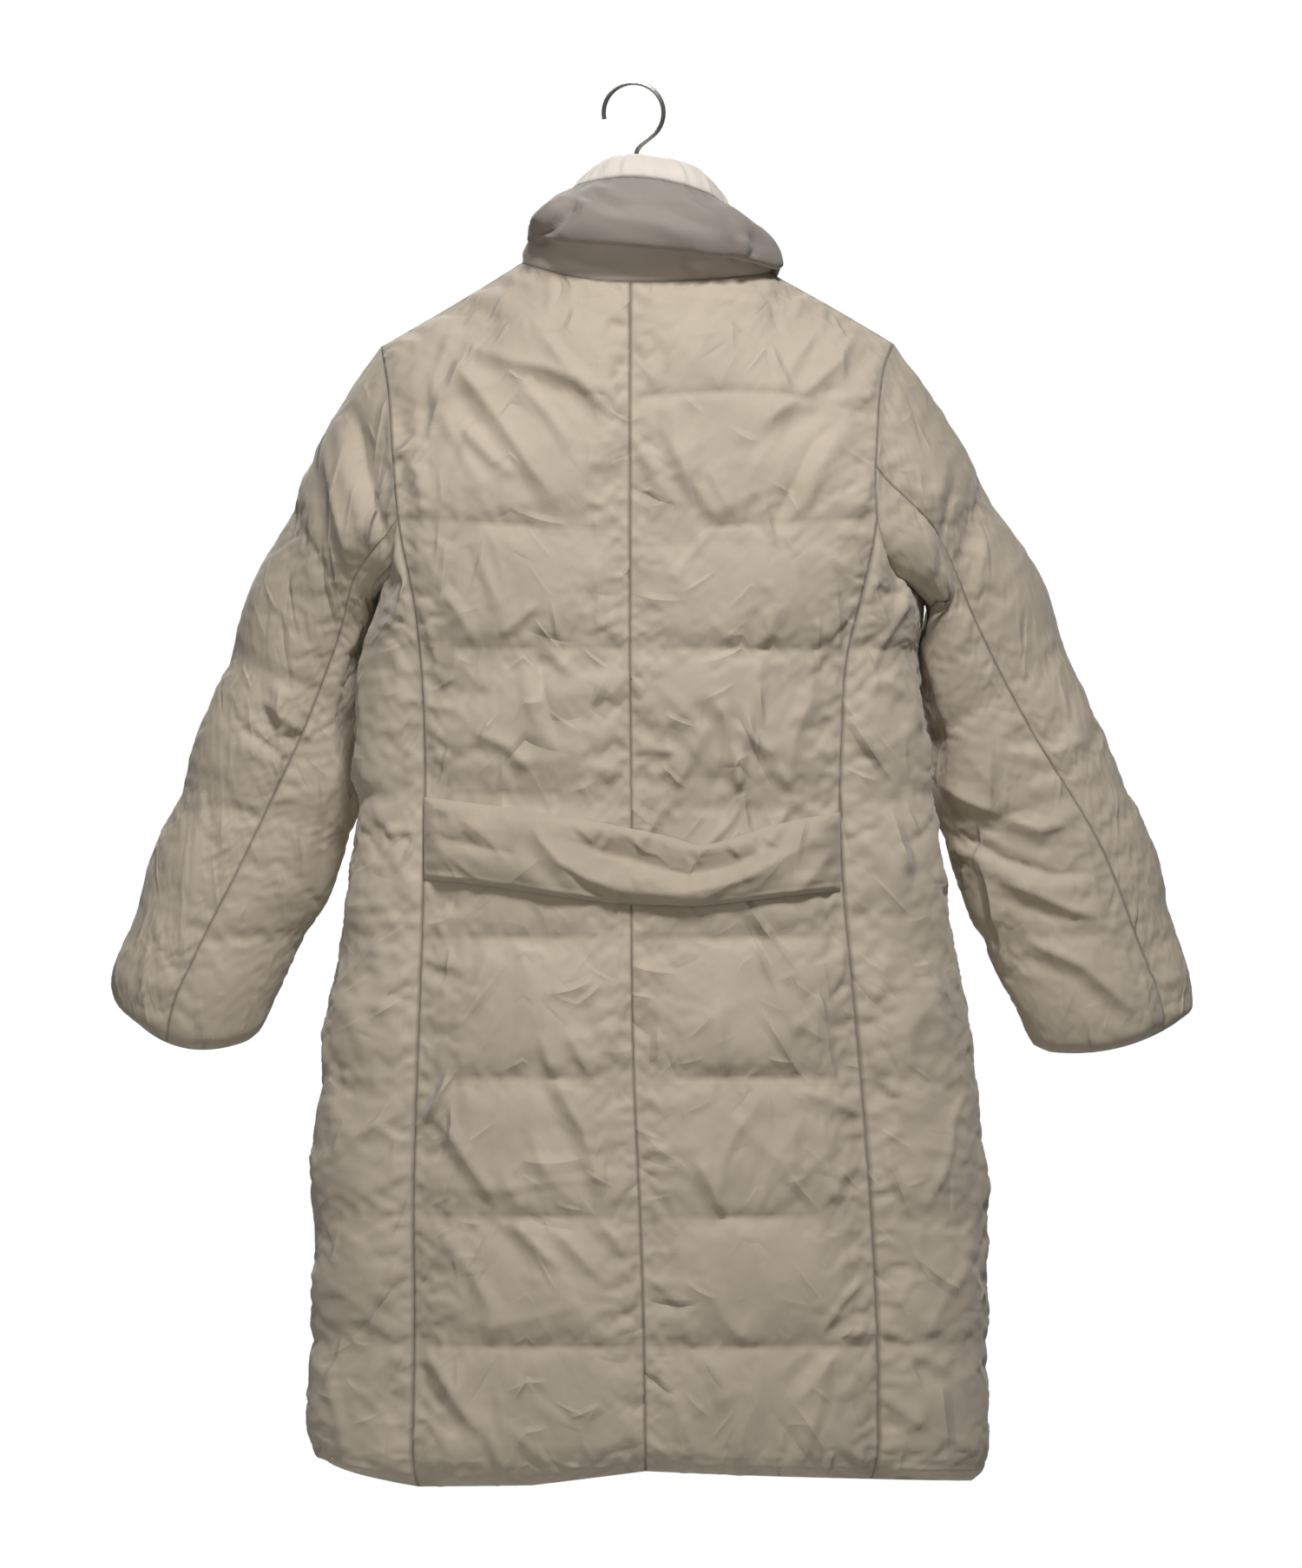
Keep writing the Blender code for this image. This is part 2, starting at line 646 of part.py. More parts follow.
def wall(points, lifts, faces, normals):
    """The closed wall's points and faces: outside, inside and the edges between them."""
    count = {}
    for face in faces:
        for i, v in enumerate(face):
            edge = frozenset((v, face[i - 1]))
            count[edge] = count.get(edge, 0) + 1
    shift = {}
    rim = []
    for face in faces:
        middle = points[face].mean(axis=0)
        for i, v in enumerate(face):
            u = face[i - 1]
            if count[frozenset((v, u))] > 1:
                continue
            rim.append((u, v))
            along = (points[v] - points[u]) / np.linalg.norm(points[v] - points[u])
            inward = middle - points[u]
            inward -= along * np.dot(inward, along)
            inward /= np.linalg.norm(inward)
            shift.setdefault(u, []).append(inward)
            shift.setdefault(v, []).append(inward)
    outside, inside = [], []
    for i, point in enumerate(points):
        normal = normals[key(point)]
        normal = normal / np.linalg.norm(normal)
        if i in shift:
            first, second = shift[i][0], shift[i][-1]
            moved = (first + second) / (1 + max(0.2, float(np.dot(first, second))))
            point = point + moved * SEAM_GAP / 2
        outside.append(point + normal * lifts[i])
        inside.append(point - normal * LINING)
    n = len(points)
    all_faces = [list(face) for face in faces]
    all_faces += [[v + n for v in face[::-1]] for face in faces]
    for u, v in rim:
        # Both sides of a seam are split from its lower end, so that they match.
        if points[u][2] <= points[v][2]:
            all_faces += [[v, u, v + n], [u, u + n, v + n]]
        else:
            all_faces += [[v, u, u + n], [v, u + n, v + n]]
    return np.array(outside + inside), all_faces


# ---- objects ----
def cloth_material(name, colour, roughness, metallic=0.0):
    material = bpy.data.materials.new(name)
    material.use_nodes = True
    shader = material.node_tree.nodes["Principled BSDF"]
    shader.inputs["Base Color"].default_value = colour
    shader.inputs["Roughness"].default_value = roughness
    shader.inputs["Metallic"].default_value = metallic
    return material


def add_object(name, points, faces, material):
    mesh = bpy.data.meshes.new(name)
    mesh.from_pydata([tuple(p) for p in points], [], [list(f) for f in faces])
    mesh.validate()
    mesh.shade_smooth()
    mesh.set_sharp_from_angle(angle=math.radians(50))
    mesh.materials.append(material)
    piece = bpy.data.objects.new(name, mesh)
    bpy.context.scene.collection.objects.link(piece)
    return piece


def loft(sections):
    """A closed solid through closed sections with as many points each, its ends capped."""
    sections = [np.asarray(s) for s in sections]
    n = len(sections[0])
    points = np.concatenate(sections)
    faces = []
    for s in range(len(sections) - 1):
        for i in range(n):
            j = (i + 1) % n
            a, b, c, d = s * n + i, s * n + j, (s + 1) * n + j, (s + 1) * n + i
            # Every quad is split from its lower corner, so that two facing pieces match.
            if points[a][2] <= points[b][2]:
                faces += [[a, b, c], [a, c, d]]
            else:
                faces += [[a, b, d], [b, c, d]]
    last = (len(sections) - 1) * n
    faces.append(list(range(n))[::-1])
    faces.append([last + i for i in range(n)])
    volume = 0.0
    for face in faces:
        for i in range(1, len(face) - 1):
            a, b, c = (points[face[j]] for j in (0, i, i + 1))
            volume += np.dot(a, np.cross(b, c))
    if volume < 0:
        faces = [face[::-1] for face in faces]
    return points, faces


def back_and_front_nets():
    """Every body piece's nets by name."""
    nets = {}
    for side, word in ((1, "left"), (-1, "right")):
        for face in ("back", "front"):
            centre, flank = centre_net(side, face), side_net(side, face)
            if face == "front":
                lap = lap_net(side)
                for net in (centre, flank, lap):
                    net[:, :, 1] -= front_layer(side, net[:, :, 0]) * (net[:, :, 1] < -0.05)
            middle = body("centre", centre[:, 0, 2])
            inside = np.stack([middle, np.zeros_like(middle), centre[:, 0, 2]], axis=1)
            turn_hem_in(centre, middle[-1])
            turn_hem_in(flank, middle[-1])
            if face == "back":
                lift = body_lift(centre, 0, ("first", "last", "top"), folded=True)
                nets[f"back_centre_{word}"] = [Net(centre, lift, inside)]
                lift = body_lift(flank, YOKE, ("first", "last", "top"), folded=True)
                lift = squeeze(lift, flank, side)
                nets[f"back_side_{word}"] = [Net(flank, lift, inside[YOKE:])]
                continue
            turn_hem_in(lap, middle[-1])
            # The two nets meet on a line that isn't a seam, so only the real edges are sewn.
            centre_lift = body_lift(centre, 0, ("top",))
            upper = slice(0, YOKE)
            centre_lift[upper] = body_lift(centre, 0, ("top", "last"))[upper]
            flank_lift = squeeze(body_lift(flank, YOKE, ("last", "top")), flank, side)
            flank_lift[:, 0] = np.maximum(flank_lift[:, 0], centre_lift[YOKE:, -1])
            centre_lift[YOKE:, -1] = flank_lift[:, 0]
            lap_lift = body_lift(lap, 0, ("top", "last"))
            if side > 0:
                # The left front is thin as far as the right one lies over it.
                lap_lift[:] = LAP_LIFT
                for c in range(BACK_HALF + 1):
                    share = np.clip((c - 3) / 3, 0, 1)
                    centre_lift[:, c] = mix(LAP_LIFT, centre_lift[:, c], share)
            lap_lift[-1] = centre_lift[-1] = SHELL
            nets[f"front_{word}"] = [
                Net(centre, centre_lift, inside),
                Net(flank, flank_lift, inside[YOKE:]),
                Net(lap, lap_lift, inside),
            ]
    return nets


def armhole_loop(side):
    """The armhole's points from the shoulder point round by the back to the front."""
    back = np.concatenate([armhole_upper(side, "back"), armhole_lower(side, "back")[1:]])
    front = np.concatenate([armhole_upper(side, "front"), armhole_lower(side, "front")[1:]])
    return np.concatenate([back, front[::-1][1:-1]])


def clear_of_body(points, side, t):
    """Moves a sleeve ring's points out until they clear the padded side of the body."""
    points = points.copy()
    name = "left" if side > 0 else "right"
    body_rise, sleeve_rise = QUILT_LIFT + BODY_PADDING, SLEEVE_QUILT + SLEEVE_PADDING
    for point in points:
        y, z = point[1:]
        below = UNDERARM[side][2] - z
        if below <= 0 or t == 0:
            continue
        start = float(body(f"{name}_princess", z))
        seam = float(body(name, z)) - side * SIDE_ALLOWANCE
        depth = float(body("princess_back" if y > 0 else "princess_front", z))
        cosine = abs(y) / depth * math.cos(SIDE_START)
        if cosine >= math.cos(SIDE_START):
            continue
        sine = math.sqrt(1 - cosine**2)
        reach = (sine - math.sin(SIDE_START)) / (1 - math.sin(SIDE_START))
        padding = body_rise * float(ease(below, UNDERARM_EASE)) ** 2
        padding += sleeve_rise * float(ease(t, UNDERARM_SHARE))
        needed = 2 * SHELL + ARM_CLEARANCE + padding
        limit = start + (seam - start) * reach + side * needed * min(1.0, below / ARM_RAMP)
        point[0] = side * max(side * point[0], side * limit)
    return points


def sleeve_nets(side, armhole):
    """The top sleeve's and the under sleeve's nets, from the armhole to the cuff."""
    rings = SLEEVE[side]
    axis = np.stack([rings["outer_x"] + rings["inner_x"], rings["outer_z"] + rings["inner_z"]])
    stations = np.append(0, np.cumsum(np.linalg.norm(np.diff(axis), axis=0)))
    stations /= stations[-1]
    rows = np.linspace(0, 1, SLEEVE_CHANNELS * SLEEVE_ROWS + 1)
    rows = np.sort(np.append(rows, 0.985))
    count = len(armhole)
    back_column, front_column = SLEEVE_SEAMS[side]
    grid = np.zeros((len(rows), count, 3))
    middles = np.zeros((len(rows), 3))
    away = None
    for r, t in enumerate(rows):
        ring = {name: float(smooth(stations, rings[name], t)) for name in rings}
        outer = np.array([ring["outer_x"], ring["middle_y"], ring["outer_z"]])
        inner = np.array([ring["inner_x"], ring["middle_y"], ring["inner_z"]])
        middle, half = (outer + inner) / 2, np.linalg.norm(outer - inner) / 2
        across = (outer - inner) / (2 * half)
        full = min(1.0, t / HEAD_FADE)
        half -= SLEEVE_OUTLINE * full
        depth = ring["half_depth"] - SLEEVE_OUTLINE * full
        if r == len(rows) - 1:
            half, depth = half - CUFF_TURN, depth - CUFF_TURN
        angles = np.radians(
            np.interp(
                np.arange(count),
                (0, back_column, front_column, count),
                (0, ring["back_seam"], ring["front_seam"], 360),
            )
        )
        points = middle + half * np.cos(angles)[:, None] * across
        points[:, 1] += depth * np.sin(angles)
        down = np.array([across[2], 0.0, -across[0]]) * side
        points += down * (ring["droop"] * np.sin(angles) ** 2)[:, None]
        if away is None:
            away = armhole - points
        low = (1 - np.cos(angles)) / 2
        fade = np.clip(1 - t / (HEAD_FADE + (UNDERARM_FADE - HEAD_FADE) * low), 0, 1)[:, None]
        grid[r] = clear_of_body(points + away * fade**2 * (3 - 2 * fade), side, t)
        middles[r] = middle
    under = grid[:, back_column : front_column + 1]
    top = np.concatenate([grid[:, front_column:], grid[:, : back_column + 1]], axis=1)
    nets = []
    for net in (top, under):
        distance = edge_distance(net, ("first", "last", "top"))
        lift = np.zeros(net.shape[:2])
        for r, t in enumerate(rows):
            phase = (t * SLEEVE_CHANNELS) % 1.0
            rise = SLEEVE_QUILT + SLEEVE_PADDING * math.sin(math.pi * phase) ** 0.8
            squeezed = float(ease(t, UNDERARM_SHARE)) if net is under else 1.0
            lift[r] = SHELL + rise * ease(distance[r], SEAM_EASE) * squeezed
        lift[-1] = SHELL
        nets.append([Net(net, lift, middles)])
    return nets


def neck_loop(nets):
    """The neck's points from the right front (-8) over the centre back (0) to the left front."""
    last = BACK_HALF // 2 + 1
    halves = {}
    for word in ("right", "left"):
        back = nets[f"back_centre_{word}"][0].points[0, :last]
        front = nets[f"front_{word}"][0].points[0, :last]
        halves[word] = np.concatenate([back, front[::-1][1:]])
    return np.concatenate([halves["right"][::-1], halves["left"][1:]])


def collar_sections(loop, normals):
    """The sections of the outer and of the inner collar, all along the neck."""
    half = len(loop) // 2
    middle = loop.mean(axis=0)
    outer_sections, inner_sections = [], []
    for at in np.linspace(-half, half, 4 * half + 1):
        low = int(min(math.floor(at + half), 2 * half - 1))
        share = at + half - low
        seam = mix(loop[low], loop[low + 1], share)
        normal = mix(
            normals[key(loop[low])] / np.linalg.norm(normals[key(loop[low])]),
            normals[key(loop[low + 1])] / np.linalg.norm(normals[key(loop[low + 1])]),
            share,
        )
        normal /= np.linalg.norm(normal)
        before, after = loop[max(low - 1, 0)], loop[min(low + 2, 2 * half)]
        along = mix(loop[low + 1] - before, after - loop[low], share)
        out = (seam - middle) * np.array([1.0, 1.0, 0.0])
        out /= np.linalg.norm(out)
        if abs(at) == half:
            seam = seam + np.array([COLLAR_OPENING * np.sign(at), 0, 0])
        height, roll, lean = (
            float(smooth(COLLAR_ALONG["column"], COLLAR_ALONG[name], at))
            for name in ("height", "roll", "lean")
        )
        up = np.array([0.0, 0.0, 1.0])
        away = np.cross(normal, along)
        away *= np.sign(np.dot(away, up * 2 - out)) / np.linalg.norm(away)

        def place(rise, reach):
            leaning = lean * (rise / COLLAR_TALL) ** 2
            return seam + up * rise * height + out * (reach - leaning)

        # Half way between two columns the seam's edge is twisted, so the gap is doubled there.
        start = seam + away * SEAM_GAP * (0.5 if share in (0, 1) and abs(at) < half else 1.0)
        outer_face = [start + normal * SHELL]
        rows = zip(COLLAR_OUT["up"], COLLAR_OUT["out"], COLLAR_OUT["roll"])
        outer_face += [place(rise, reach + roll * more) for rise, reach, more in rows]
        split = (SHELL - LINING) / 2
        seat = [start + normal * (split + SEAM_GAP / 2)]
        rows = list(zip(COLLAR_MIDDLE["up"], COLLAR_MIDDLE["out"]))
        seat += [place(rise, reach) for rise, reach in rows]
        outer_sections.append(outer_face + seat[::-1])
        facing = [start + normal * (split - SEAM_GAP / 2)]
        facing += [place(rise, reach - SEAM_GAP) for rise, reach in rows[:-1]]
        facing.append(place(rows[-1][0] + SEAM_GAP, rows[-1][1] - SEAM_GAP))
        edge = place(
            COLLAR_OUT["up"][-1] + SEAM_GAP * 1.5, COLLAR_OUT["out"][-1] + roll * COLLAR_OUT["roll"][-1]
        )
        rows = zip(COLLAR_IN["up"], COLLAR_IN["out"], COLLAR_IN["roll"])
        over = [place(rise, reach + roll * more) for rise, reach, more in rows]
        over.append(start - normal * LINING)
        inner_sections.append([edge] + over + facing)
    return outer_sections, inner_sections


def surface_depth(trees, x, z):
    """How far back the outermost of some panels lies at a place on the back."""
    found = [tree.ray_cast(Vector((x, 1.0, z)), Vector((0, -1, 0)))[0] for tree in trees]
    return max((hit.y for hit in found if hit is not None), default=0.0)


def belt_sections(trees):
    """The half belt's sections from the left princess seam to the right one."""
    sections = []
    near = 0.004
    for x in np.linspace(BELT["x"][0], BELT["x"][-1], BELT_COLUMNS + 1):
        top, bottom, stand_off = (
            float(smooth(BELT["x"], BELT[name], x)) for name in ("top", "bottom", "stand_off")
        )
        end = min(BELT["x"][0] - x, x - BELT["x"][-1])
        full = 0.25 + 0.75 * float(ease(end, 0.03))
        front, back = [], []
        for at, thick in zip(BELT_SECTION["at"], BELT_SECTION["thick"]):
            z = bottom + (top - bottom) * at
            places = [(x + dx, z + dz) for dx in (-near, 0, near) for dz in (-near, 0, near)]
            seat = max(surface_depth(trees, *place) for place in places) + BELT_CLEARANCE
            seat += stand_off * at**2
            back.append((x, seat, z))
            front.append((x, seat + thick * full, z))
        sections.append(np.array(front + back[::-1]))
    return sections


def bar_sections():
    """The hanger's bar from its right tip to its left tip, under the shoulder seams."""
    lines = {side: shoulder_line(side) for side in (-1, 1)}
    right, left = lines[-1][::-1], lines[1]
    knots_x = np.concatenate([right[:, 0], [STEM_X], left[:, 0]])
    knots_z = np.concatenate([right[:, 2], [BAR_PEAK], left[:, 2]])
    sections = []
    for x in np.linspace(-BAR_HALF_LENGTH, BAR_HALF_LENGTH, BAR_SECTIONS):
        thin = 1 - (1 - BAR_TIP) * (abs(x) / BAR_HALF_LENGTH) ** 4
        width, height = BAR_HALF_WIDTH * thin, BAR_HALF_HEIGHT * thin
        top = float(smooth(knots_x, knots_z, x)) - 0.008
        angles = np.linspace(0, 2 * math.pi, 10, endpoint=False) + math.pi / 2
        section = [(x, width * math.cos(a), top - height + height * math.sin(a)) for a in angles]
        sections.append(np.array(section))
    return sections


def seat_bar(sections, trees):
    """Raises the bar until it lies a seam gap under the shoulders' inside."""
    points = np.concatenate(sections)
    for _ in range(3):
        gap = min(
            hit[3] for p in points for hit in (tree.find_nearest(Vector(p)) for tree in trees)
        )
        points[:, 2] += gap - SEAM_GAP
    count = len(sections[0])
    return [points[i : i + count] for i in range(0, len(points), count)]


def hook_path(bar_top):
    """The wire's middle: from its tip over the bow and down to the hanger's bar."""
    centre_z = WIRE_RADIUS - HOOK_RADIUS
    points = []
    for angle in np.linspace(HOOK_START, HOOK_END, 26):
        points.append((-HOOK_RADIUS * math.cos(angle), 0.0, centre_z + HOOK_RADIUS * math.sin(angle)))
    start = np.array(points[-1])
    heading = np.array([-math.sin(HOOK_END), 0.0, -math.cos(HOOK_END)])
    end = np.array([STEM_X, 0.0, STEM_BEND_Z])
    reach = np.linalg.norm(end - start)
    for share in np.linspace(0, 1, 9)[1:]:
        a, b = start + heading * reach * 0.35, end + np.array([0, 0, reach * 0.35])
        points.append(
            tuple(
                start * (1 - share) ** 3
                + 3 * a * share * (1 - share) ** 2
                + 3 * b * share**2 * (1 - share)
                + end * share**3
            )
        )
    points.append((STEM_X, 0.0, (STEM_BEND_Z + bar_top) / 2))
    points.append((STEM_X, 0.0, bar_top + SEAM_GAP))
    return points


def add_hook(path, material):
    curve = bpy.data.curves.new("hanger_hook", "CURVE")
    curve.dimensions = "3D"
    curve.bevel_depth = WIRE_RADIUS
    curve.bevel_resolution = 2
    curve.use_fill_caps = True
    curve.materials.append(material)
    spline = curve.splines.new("POLY")
    spline.points.add(len(path) - 1)
    for point, place in zip(spline.points, path):
        point.co = (*place, 1.0)
    piece = bpy.data.objects.new("hanger_hook", curve)
    bpy.context.scene.collection.objects.link(piece)


def tree_of(points, faces):
    return BVHTree.FromPolygons([tuple(p) for p in points], [list(f) for f in faces])


def main():
    for piece in list(bpy.data.objects):
        bpy.data.objects.remove(piece)
    cloth = cloth_material("coat_cloth", CLOTH_COLOUR, 0.72)
    lining = cloth_material("collar_lining", (0.60, 0.53, 0.43, 1.0), 0.72)
    belt_cloth = cloth_material("belt_cloth", (0.55, 0.48, 0.39, 1.0), 0.70)
    bar_plastic = cloth_material("bar_plastic", (0.10, 0.10, 0.11, 1.0), 0.45)
    wire = cloth_material("hook_steel", (0.62, 0.61, 0.58, 1.0), 0.28, 1.0)

    nets = back_and_front_nets()
    for side, word in ((1, "left"), (-1, "right")):
        top, under = sleeve_nets(side, armhole_loop(side))
        nets[f"top_sleeve_{word}"], nets[f"under_sleeve_{word}"] = top, under
    meshes = {name: merged(group) for name, group in nets.items()}
    normals = {}
    for points, _, faces in meshes.values():
        add_normals(normals, points, faces)

    walls = {}
    for name, (points, lifts, faces) in meshes.items():
        walls[name] = wall(points, lifts, faces, normals)
        add_object(name, *walls[name], cloth)

    outer, inner = collar_sections(neck_loop(nets), normals)
    add_object("collar_outer", *loft(outer), cloth)
    add_object("collar_inner", *loft(inner), lining)
    back_trees = [tree_of(*walls[f"back_centre_{word}"]) for word in ("left", "right")]
    back_trees += [tree_of(*walls[f"back_side_{word}"]) for word in ("left", "right")]
    add_object("half_belt", *loft(belt_sections(back_trees)), belt_cloth)
    around = [name for name in walls if "sleeve" not in name]
    bar = seat_bar(bar_sections(), [tree_of(*walls[name]) for name in around])
    add_object("hanger_bar", *loft(bar), bar_plastic)
    bar_top = float(np.interp(STEM_X, [s[0, 0] for s in bar], [s[:, 2].max() for s in bar]))
    add_hook(hook_path(bar_top), wire)


main()
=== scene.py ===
# %% [markdown]
# # A long padded coat on a hanger
#
# This script dresses a plain model of a padded coat. The plain model has one closed solid for
# each piece that a maker sews, and here each of them gets a finer skin with puckered padding,
# folds and woven cloth. We work in metres, with +Z up and the coat's back towards +Y.

import math

import bpy
import numpy as np
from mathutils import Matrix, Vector
from mathutils.bvhtree import BVHTree


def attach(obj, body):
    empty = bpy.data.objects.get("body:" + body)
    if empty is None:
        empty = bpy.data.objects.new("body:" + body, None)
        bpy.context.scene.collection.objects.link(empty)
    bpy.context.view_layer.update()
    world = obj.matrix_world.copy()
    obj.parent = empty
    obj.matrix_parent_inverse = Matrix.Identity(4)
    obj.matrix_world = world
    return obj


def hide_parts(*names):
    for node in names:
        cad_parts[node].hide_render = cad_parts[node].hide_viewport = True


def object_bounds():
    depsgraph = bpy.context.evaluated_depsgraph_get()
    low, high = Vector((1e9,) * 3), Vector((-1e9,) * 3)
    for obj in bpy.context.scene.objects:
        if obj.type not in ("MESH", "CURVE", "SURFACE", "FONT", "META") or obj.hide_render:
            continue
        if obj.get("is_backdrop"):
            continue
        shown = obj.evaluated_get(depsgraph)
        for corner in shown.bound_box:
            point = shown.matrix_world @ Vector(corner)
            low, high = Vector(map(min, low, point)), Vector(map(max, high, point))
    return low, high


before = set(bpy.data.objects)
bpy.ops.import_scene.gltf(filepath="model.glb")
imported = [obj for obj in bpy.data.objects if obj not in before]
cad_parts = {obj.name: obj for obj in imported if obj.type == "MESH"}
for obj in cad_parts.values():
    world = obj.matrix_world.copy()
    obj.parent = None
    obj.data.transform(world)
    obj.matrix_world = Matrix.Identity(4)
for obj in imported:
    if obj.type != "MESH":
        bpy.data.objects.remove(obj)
plain_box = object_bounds()
scene = bpy.context.scene
scene.view_settings.view_transform = "Standard"
print("plain pieces:", len(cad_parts))

# %% [markdown]
# ## Camera
#
# The coat is looked at straight from behind, from eight metres away. A long lens keeps its
# upright lines parallel. The sensor's long side is the picture's height, so the height that we
# want to see at the coat's distance gives the lens.

# %% Add the camera
VIEW_HEIGHT = 1.3346  # what the picture shows from top to bottom, at the coat
VIEW_DISTANCE = 8.0
camera_data = bpy.data.cameras.new("camera")
camera_data.sensor_width = 36.0
camera_data.lens = 36.0 * VIEW_DISTANCE / VIEW_HEIGHT
camera = bpy.data.objects.new("camera", camera_data)
camera.location = (-0.0148, VIEW_DISTANCE, -0.5949)
camera.rotation_euler = (math.radians(90), 0, math.radians(180))
scene.collection.objects.link(camera)
scene.camera = camera
print("lens:", round(camera_data.lens, 1))

# %% [markdown]
# ## Curves and tables
#
# A coat's outline is easiest to keep as a short table: a few heights, and where each seam runs
# at that height. A cubic curve through a table's column gives every place in between.

# %% Helpers for tables and curves
FINE = 5  # rows and columns of the skin for each one of the plain model


def table(names, rows):
    return dict(zip(names.split(), np.array(rows, float).T))


def smooth(knots, values, at):
    """A cubic curve through a table's column, read at one or many places."""
    order = np.argsort(knots)
    knots, values = np.asarray(knots, float)[order], np.asarray(values, float)[order]
    slopes = np.gradient(values, knots)
    at = np.clip(at, knots[0], knots[-1])
    i = np.clip(np.searchsorted(knots, at) - 1, 0, len(knots) - 2)
    width = knots[i + 1] - knots[i]
    t = (at - knots[i]) / width
    return (
        values[i] * (1 + 2 * t) * (1 - t) ** 2
        + slopes[i] * width * t * (1 - t) ** 2
        + values[i + 1] * t * t * (3 - 2 * t)
        + slopes[i + 1] * width * t * t * (t - 1)
    )


def mix(a, b, share):
    return np.asarray(a, float) * (1 - share) + np.asarray(b, float) * share


def lengths_along(line):
    """Each point's distance along a polyline from its first point."""
    return np.append(0, np.cumsum(np.linalg.norm(np.diff(line, axis=0), axis=1)))


def lengths_over(grid, axis):
    """The same for each column (axis 0) or each row (axis 1) of a grid of points."""
    steps = np.cumsum(np.linalg.norm(np.diff(grid, axis=axis), axis=2), axis=axis)
    return np.insert(steps, 0, 0, axis=axis)


def evenly(points, count):
    """A polyline's points at equal distances along it, ends kept."""
    points = np.asarray(points, float)
    along = lengths_along(points)
    at = np.linspace(0, along[-1], count + 1)
    return np.stack([np.interp(at, along, points[:, i]) for i in range(3)], axis=1)


def ease(distance, reach):
    return np.sin(np.clip(distance / reach, 0, 1) * math.pi / 2)


# %% [markdown]
# ## The coat's pattern
#
# The same tables that shape the plain model shape the skin, only with five times as many rows
# and columns. So the skin lies exactly where the plain pieces are, and every seam is shared.

# %% The pattern's tables
# all in metres: how far the wall reaches inwards and outwards from the net, how far padding
# lifts a quilting line, and how much further it lifts the middle of a channel
LINING = 0.0025
SHELL = 0.0015
QUILT_LIFT = 0.0068
BODY_PADDING = 0.0048
SLEEVE_QUILT = 0.0042
SLEEVE_PADDING = 0.0046
SEAM_EASE = 0.045
SIDE_ALLOWANCE = 0.004
BACK_HALF, SIDE, YOKE, CHANNEL, HEM_ROWS = 8 * FINE, 4 * FINE, 8 * FINE, 4 * FINE, 5 * FINE
QUILT_LINES = (-0.2697, -0.3835, -0.4811, -0.6038, -0.7250, -0.8425, -0.9592, -1.0679)
LAST_QUILT = YOKE + CHANNEL * (len(QUILT_LINES) - 2)
hem_at = np.arange(1, HEM_ROWS + 1) / FINE
HEM_STEPS = np.interp(hem_at, range(6), (0, 0.27, 0.52, 0.74, 0.90, 1.0))
HEM_TURN = smooth(range(6), (0, 0, 0, 0, 0.004, 0.011), hem_at)
HEM_RISE = smooth(range(6), (0, 0.85, 1.0, 0.9, 0.6, 0), hem_at)
BACK_NECK = (0.0030, 0.055, -0.1707)
FRONT_NECK = (-0.0060, -0.085, -0.2360)
BODY = table(
    "z left left_princess centre right_princess right back princess_back front princess_front",
    [
        (-1.1765, 0.2779, 0.1862, -0.0103, -0.2062, -0.3015, 0.112, 0.084, 0.115, 0.088),
        (-1.0324, 0.2727, 0.1840, -0.0081, -0.2040, -0.3005, 0.111, 0.083, 0.114, 0.087),
        (-0.9489, 0.2742, 0.1850, -0.0052, -0.1995, -0.3015, 0.110, 0.082, 0.113, 0.086),
        (-0.8513, 0.2668, 0.1825, -0.0007, -0.1921, -0.2926, 0.106, 0.079, 0.110, 0.083),
        (-0.7479, 0.2535, 0.1788, 0.0015, -0.1825, -0.2771, 0.100, 0.074, 0.105, 0.079),
        (-0.6370, 0.2357, 0.1760, 0.0015, -0.1740, -0.2594, 0.095, 0.068, 0.101, 0.074),
        (-0.5631, 0.2357, 0.1760, 0.0022, -0.1750, -0.2520, 0.096, 0.068, 0.103, 0.074),
        (-0.4818, 0.2284, 0.1803, 0.0030, -0.1811, -0.2424, 0.100, 0.072, 0.107, 0.076),
        (-0.4449, 0.2202, 0.1845, 0.0030, -0.1900, -0.2475, 0.101, 0.074, 0.108, 0.076),
        (-0.3717, 0.2130, 0.1985, 0.0030, -0.2055, -0.2500, 0.099, 0.075, 0.106, 0.073),
        (-0.2697, 0.2130, 0.1985, 0.0030, -0.2055, -0.2500, 0.087, 0.075, 0.093, 0.073),
        (-0.1707, 0.2130, 0.1985, 0.0030, -0.2055, -0.2500, 0.055, 0.075, 0.060, 0.073),
    ],
)
HEM = table(
    "column back_left back_right front_left front_right",
    [
        (0, -1.1715, -1.1715, -1.1850, -1.1850),
        (4, -1.1840, -1.1760, -1.1850, -1.1840),
        (8, -1.1865, -1.1800, -1.1830, -1.1850),
        (12, -1.1640, -1.1870, -1.1640, -1.1870),
    ],
)
SHOULDER_TIP = {1: (0.2140, 0.0, -0.2240), -1: (-0.2205, 0.0, -0.2215)}
NECK_POINT = {1: (0.0939, 0.0, -0.1525), -1: (-0.1150, 0.0, -0.1610)}
UNDERARM = {1: (0.2143, 0.0, -0.4242), -1: (-0.2440, 0.0, -0.4260)}
SHOULDER_SAG = {1: 0.001, -1: -0.001}
ARMHOLE_COLUMNS = "z back_x back_y front_x front_y"
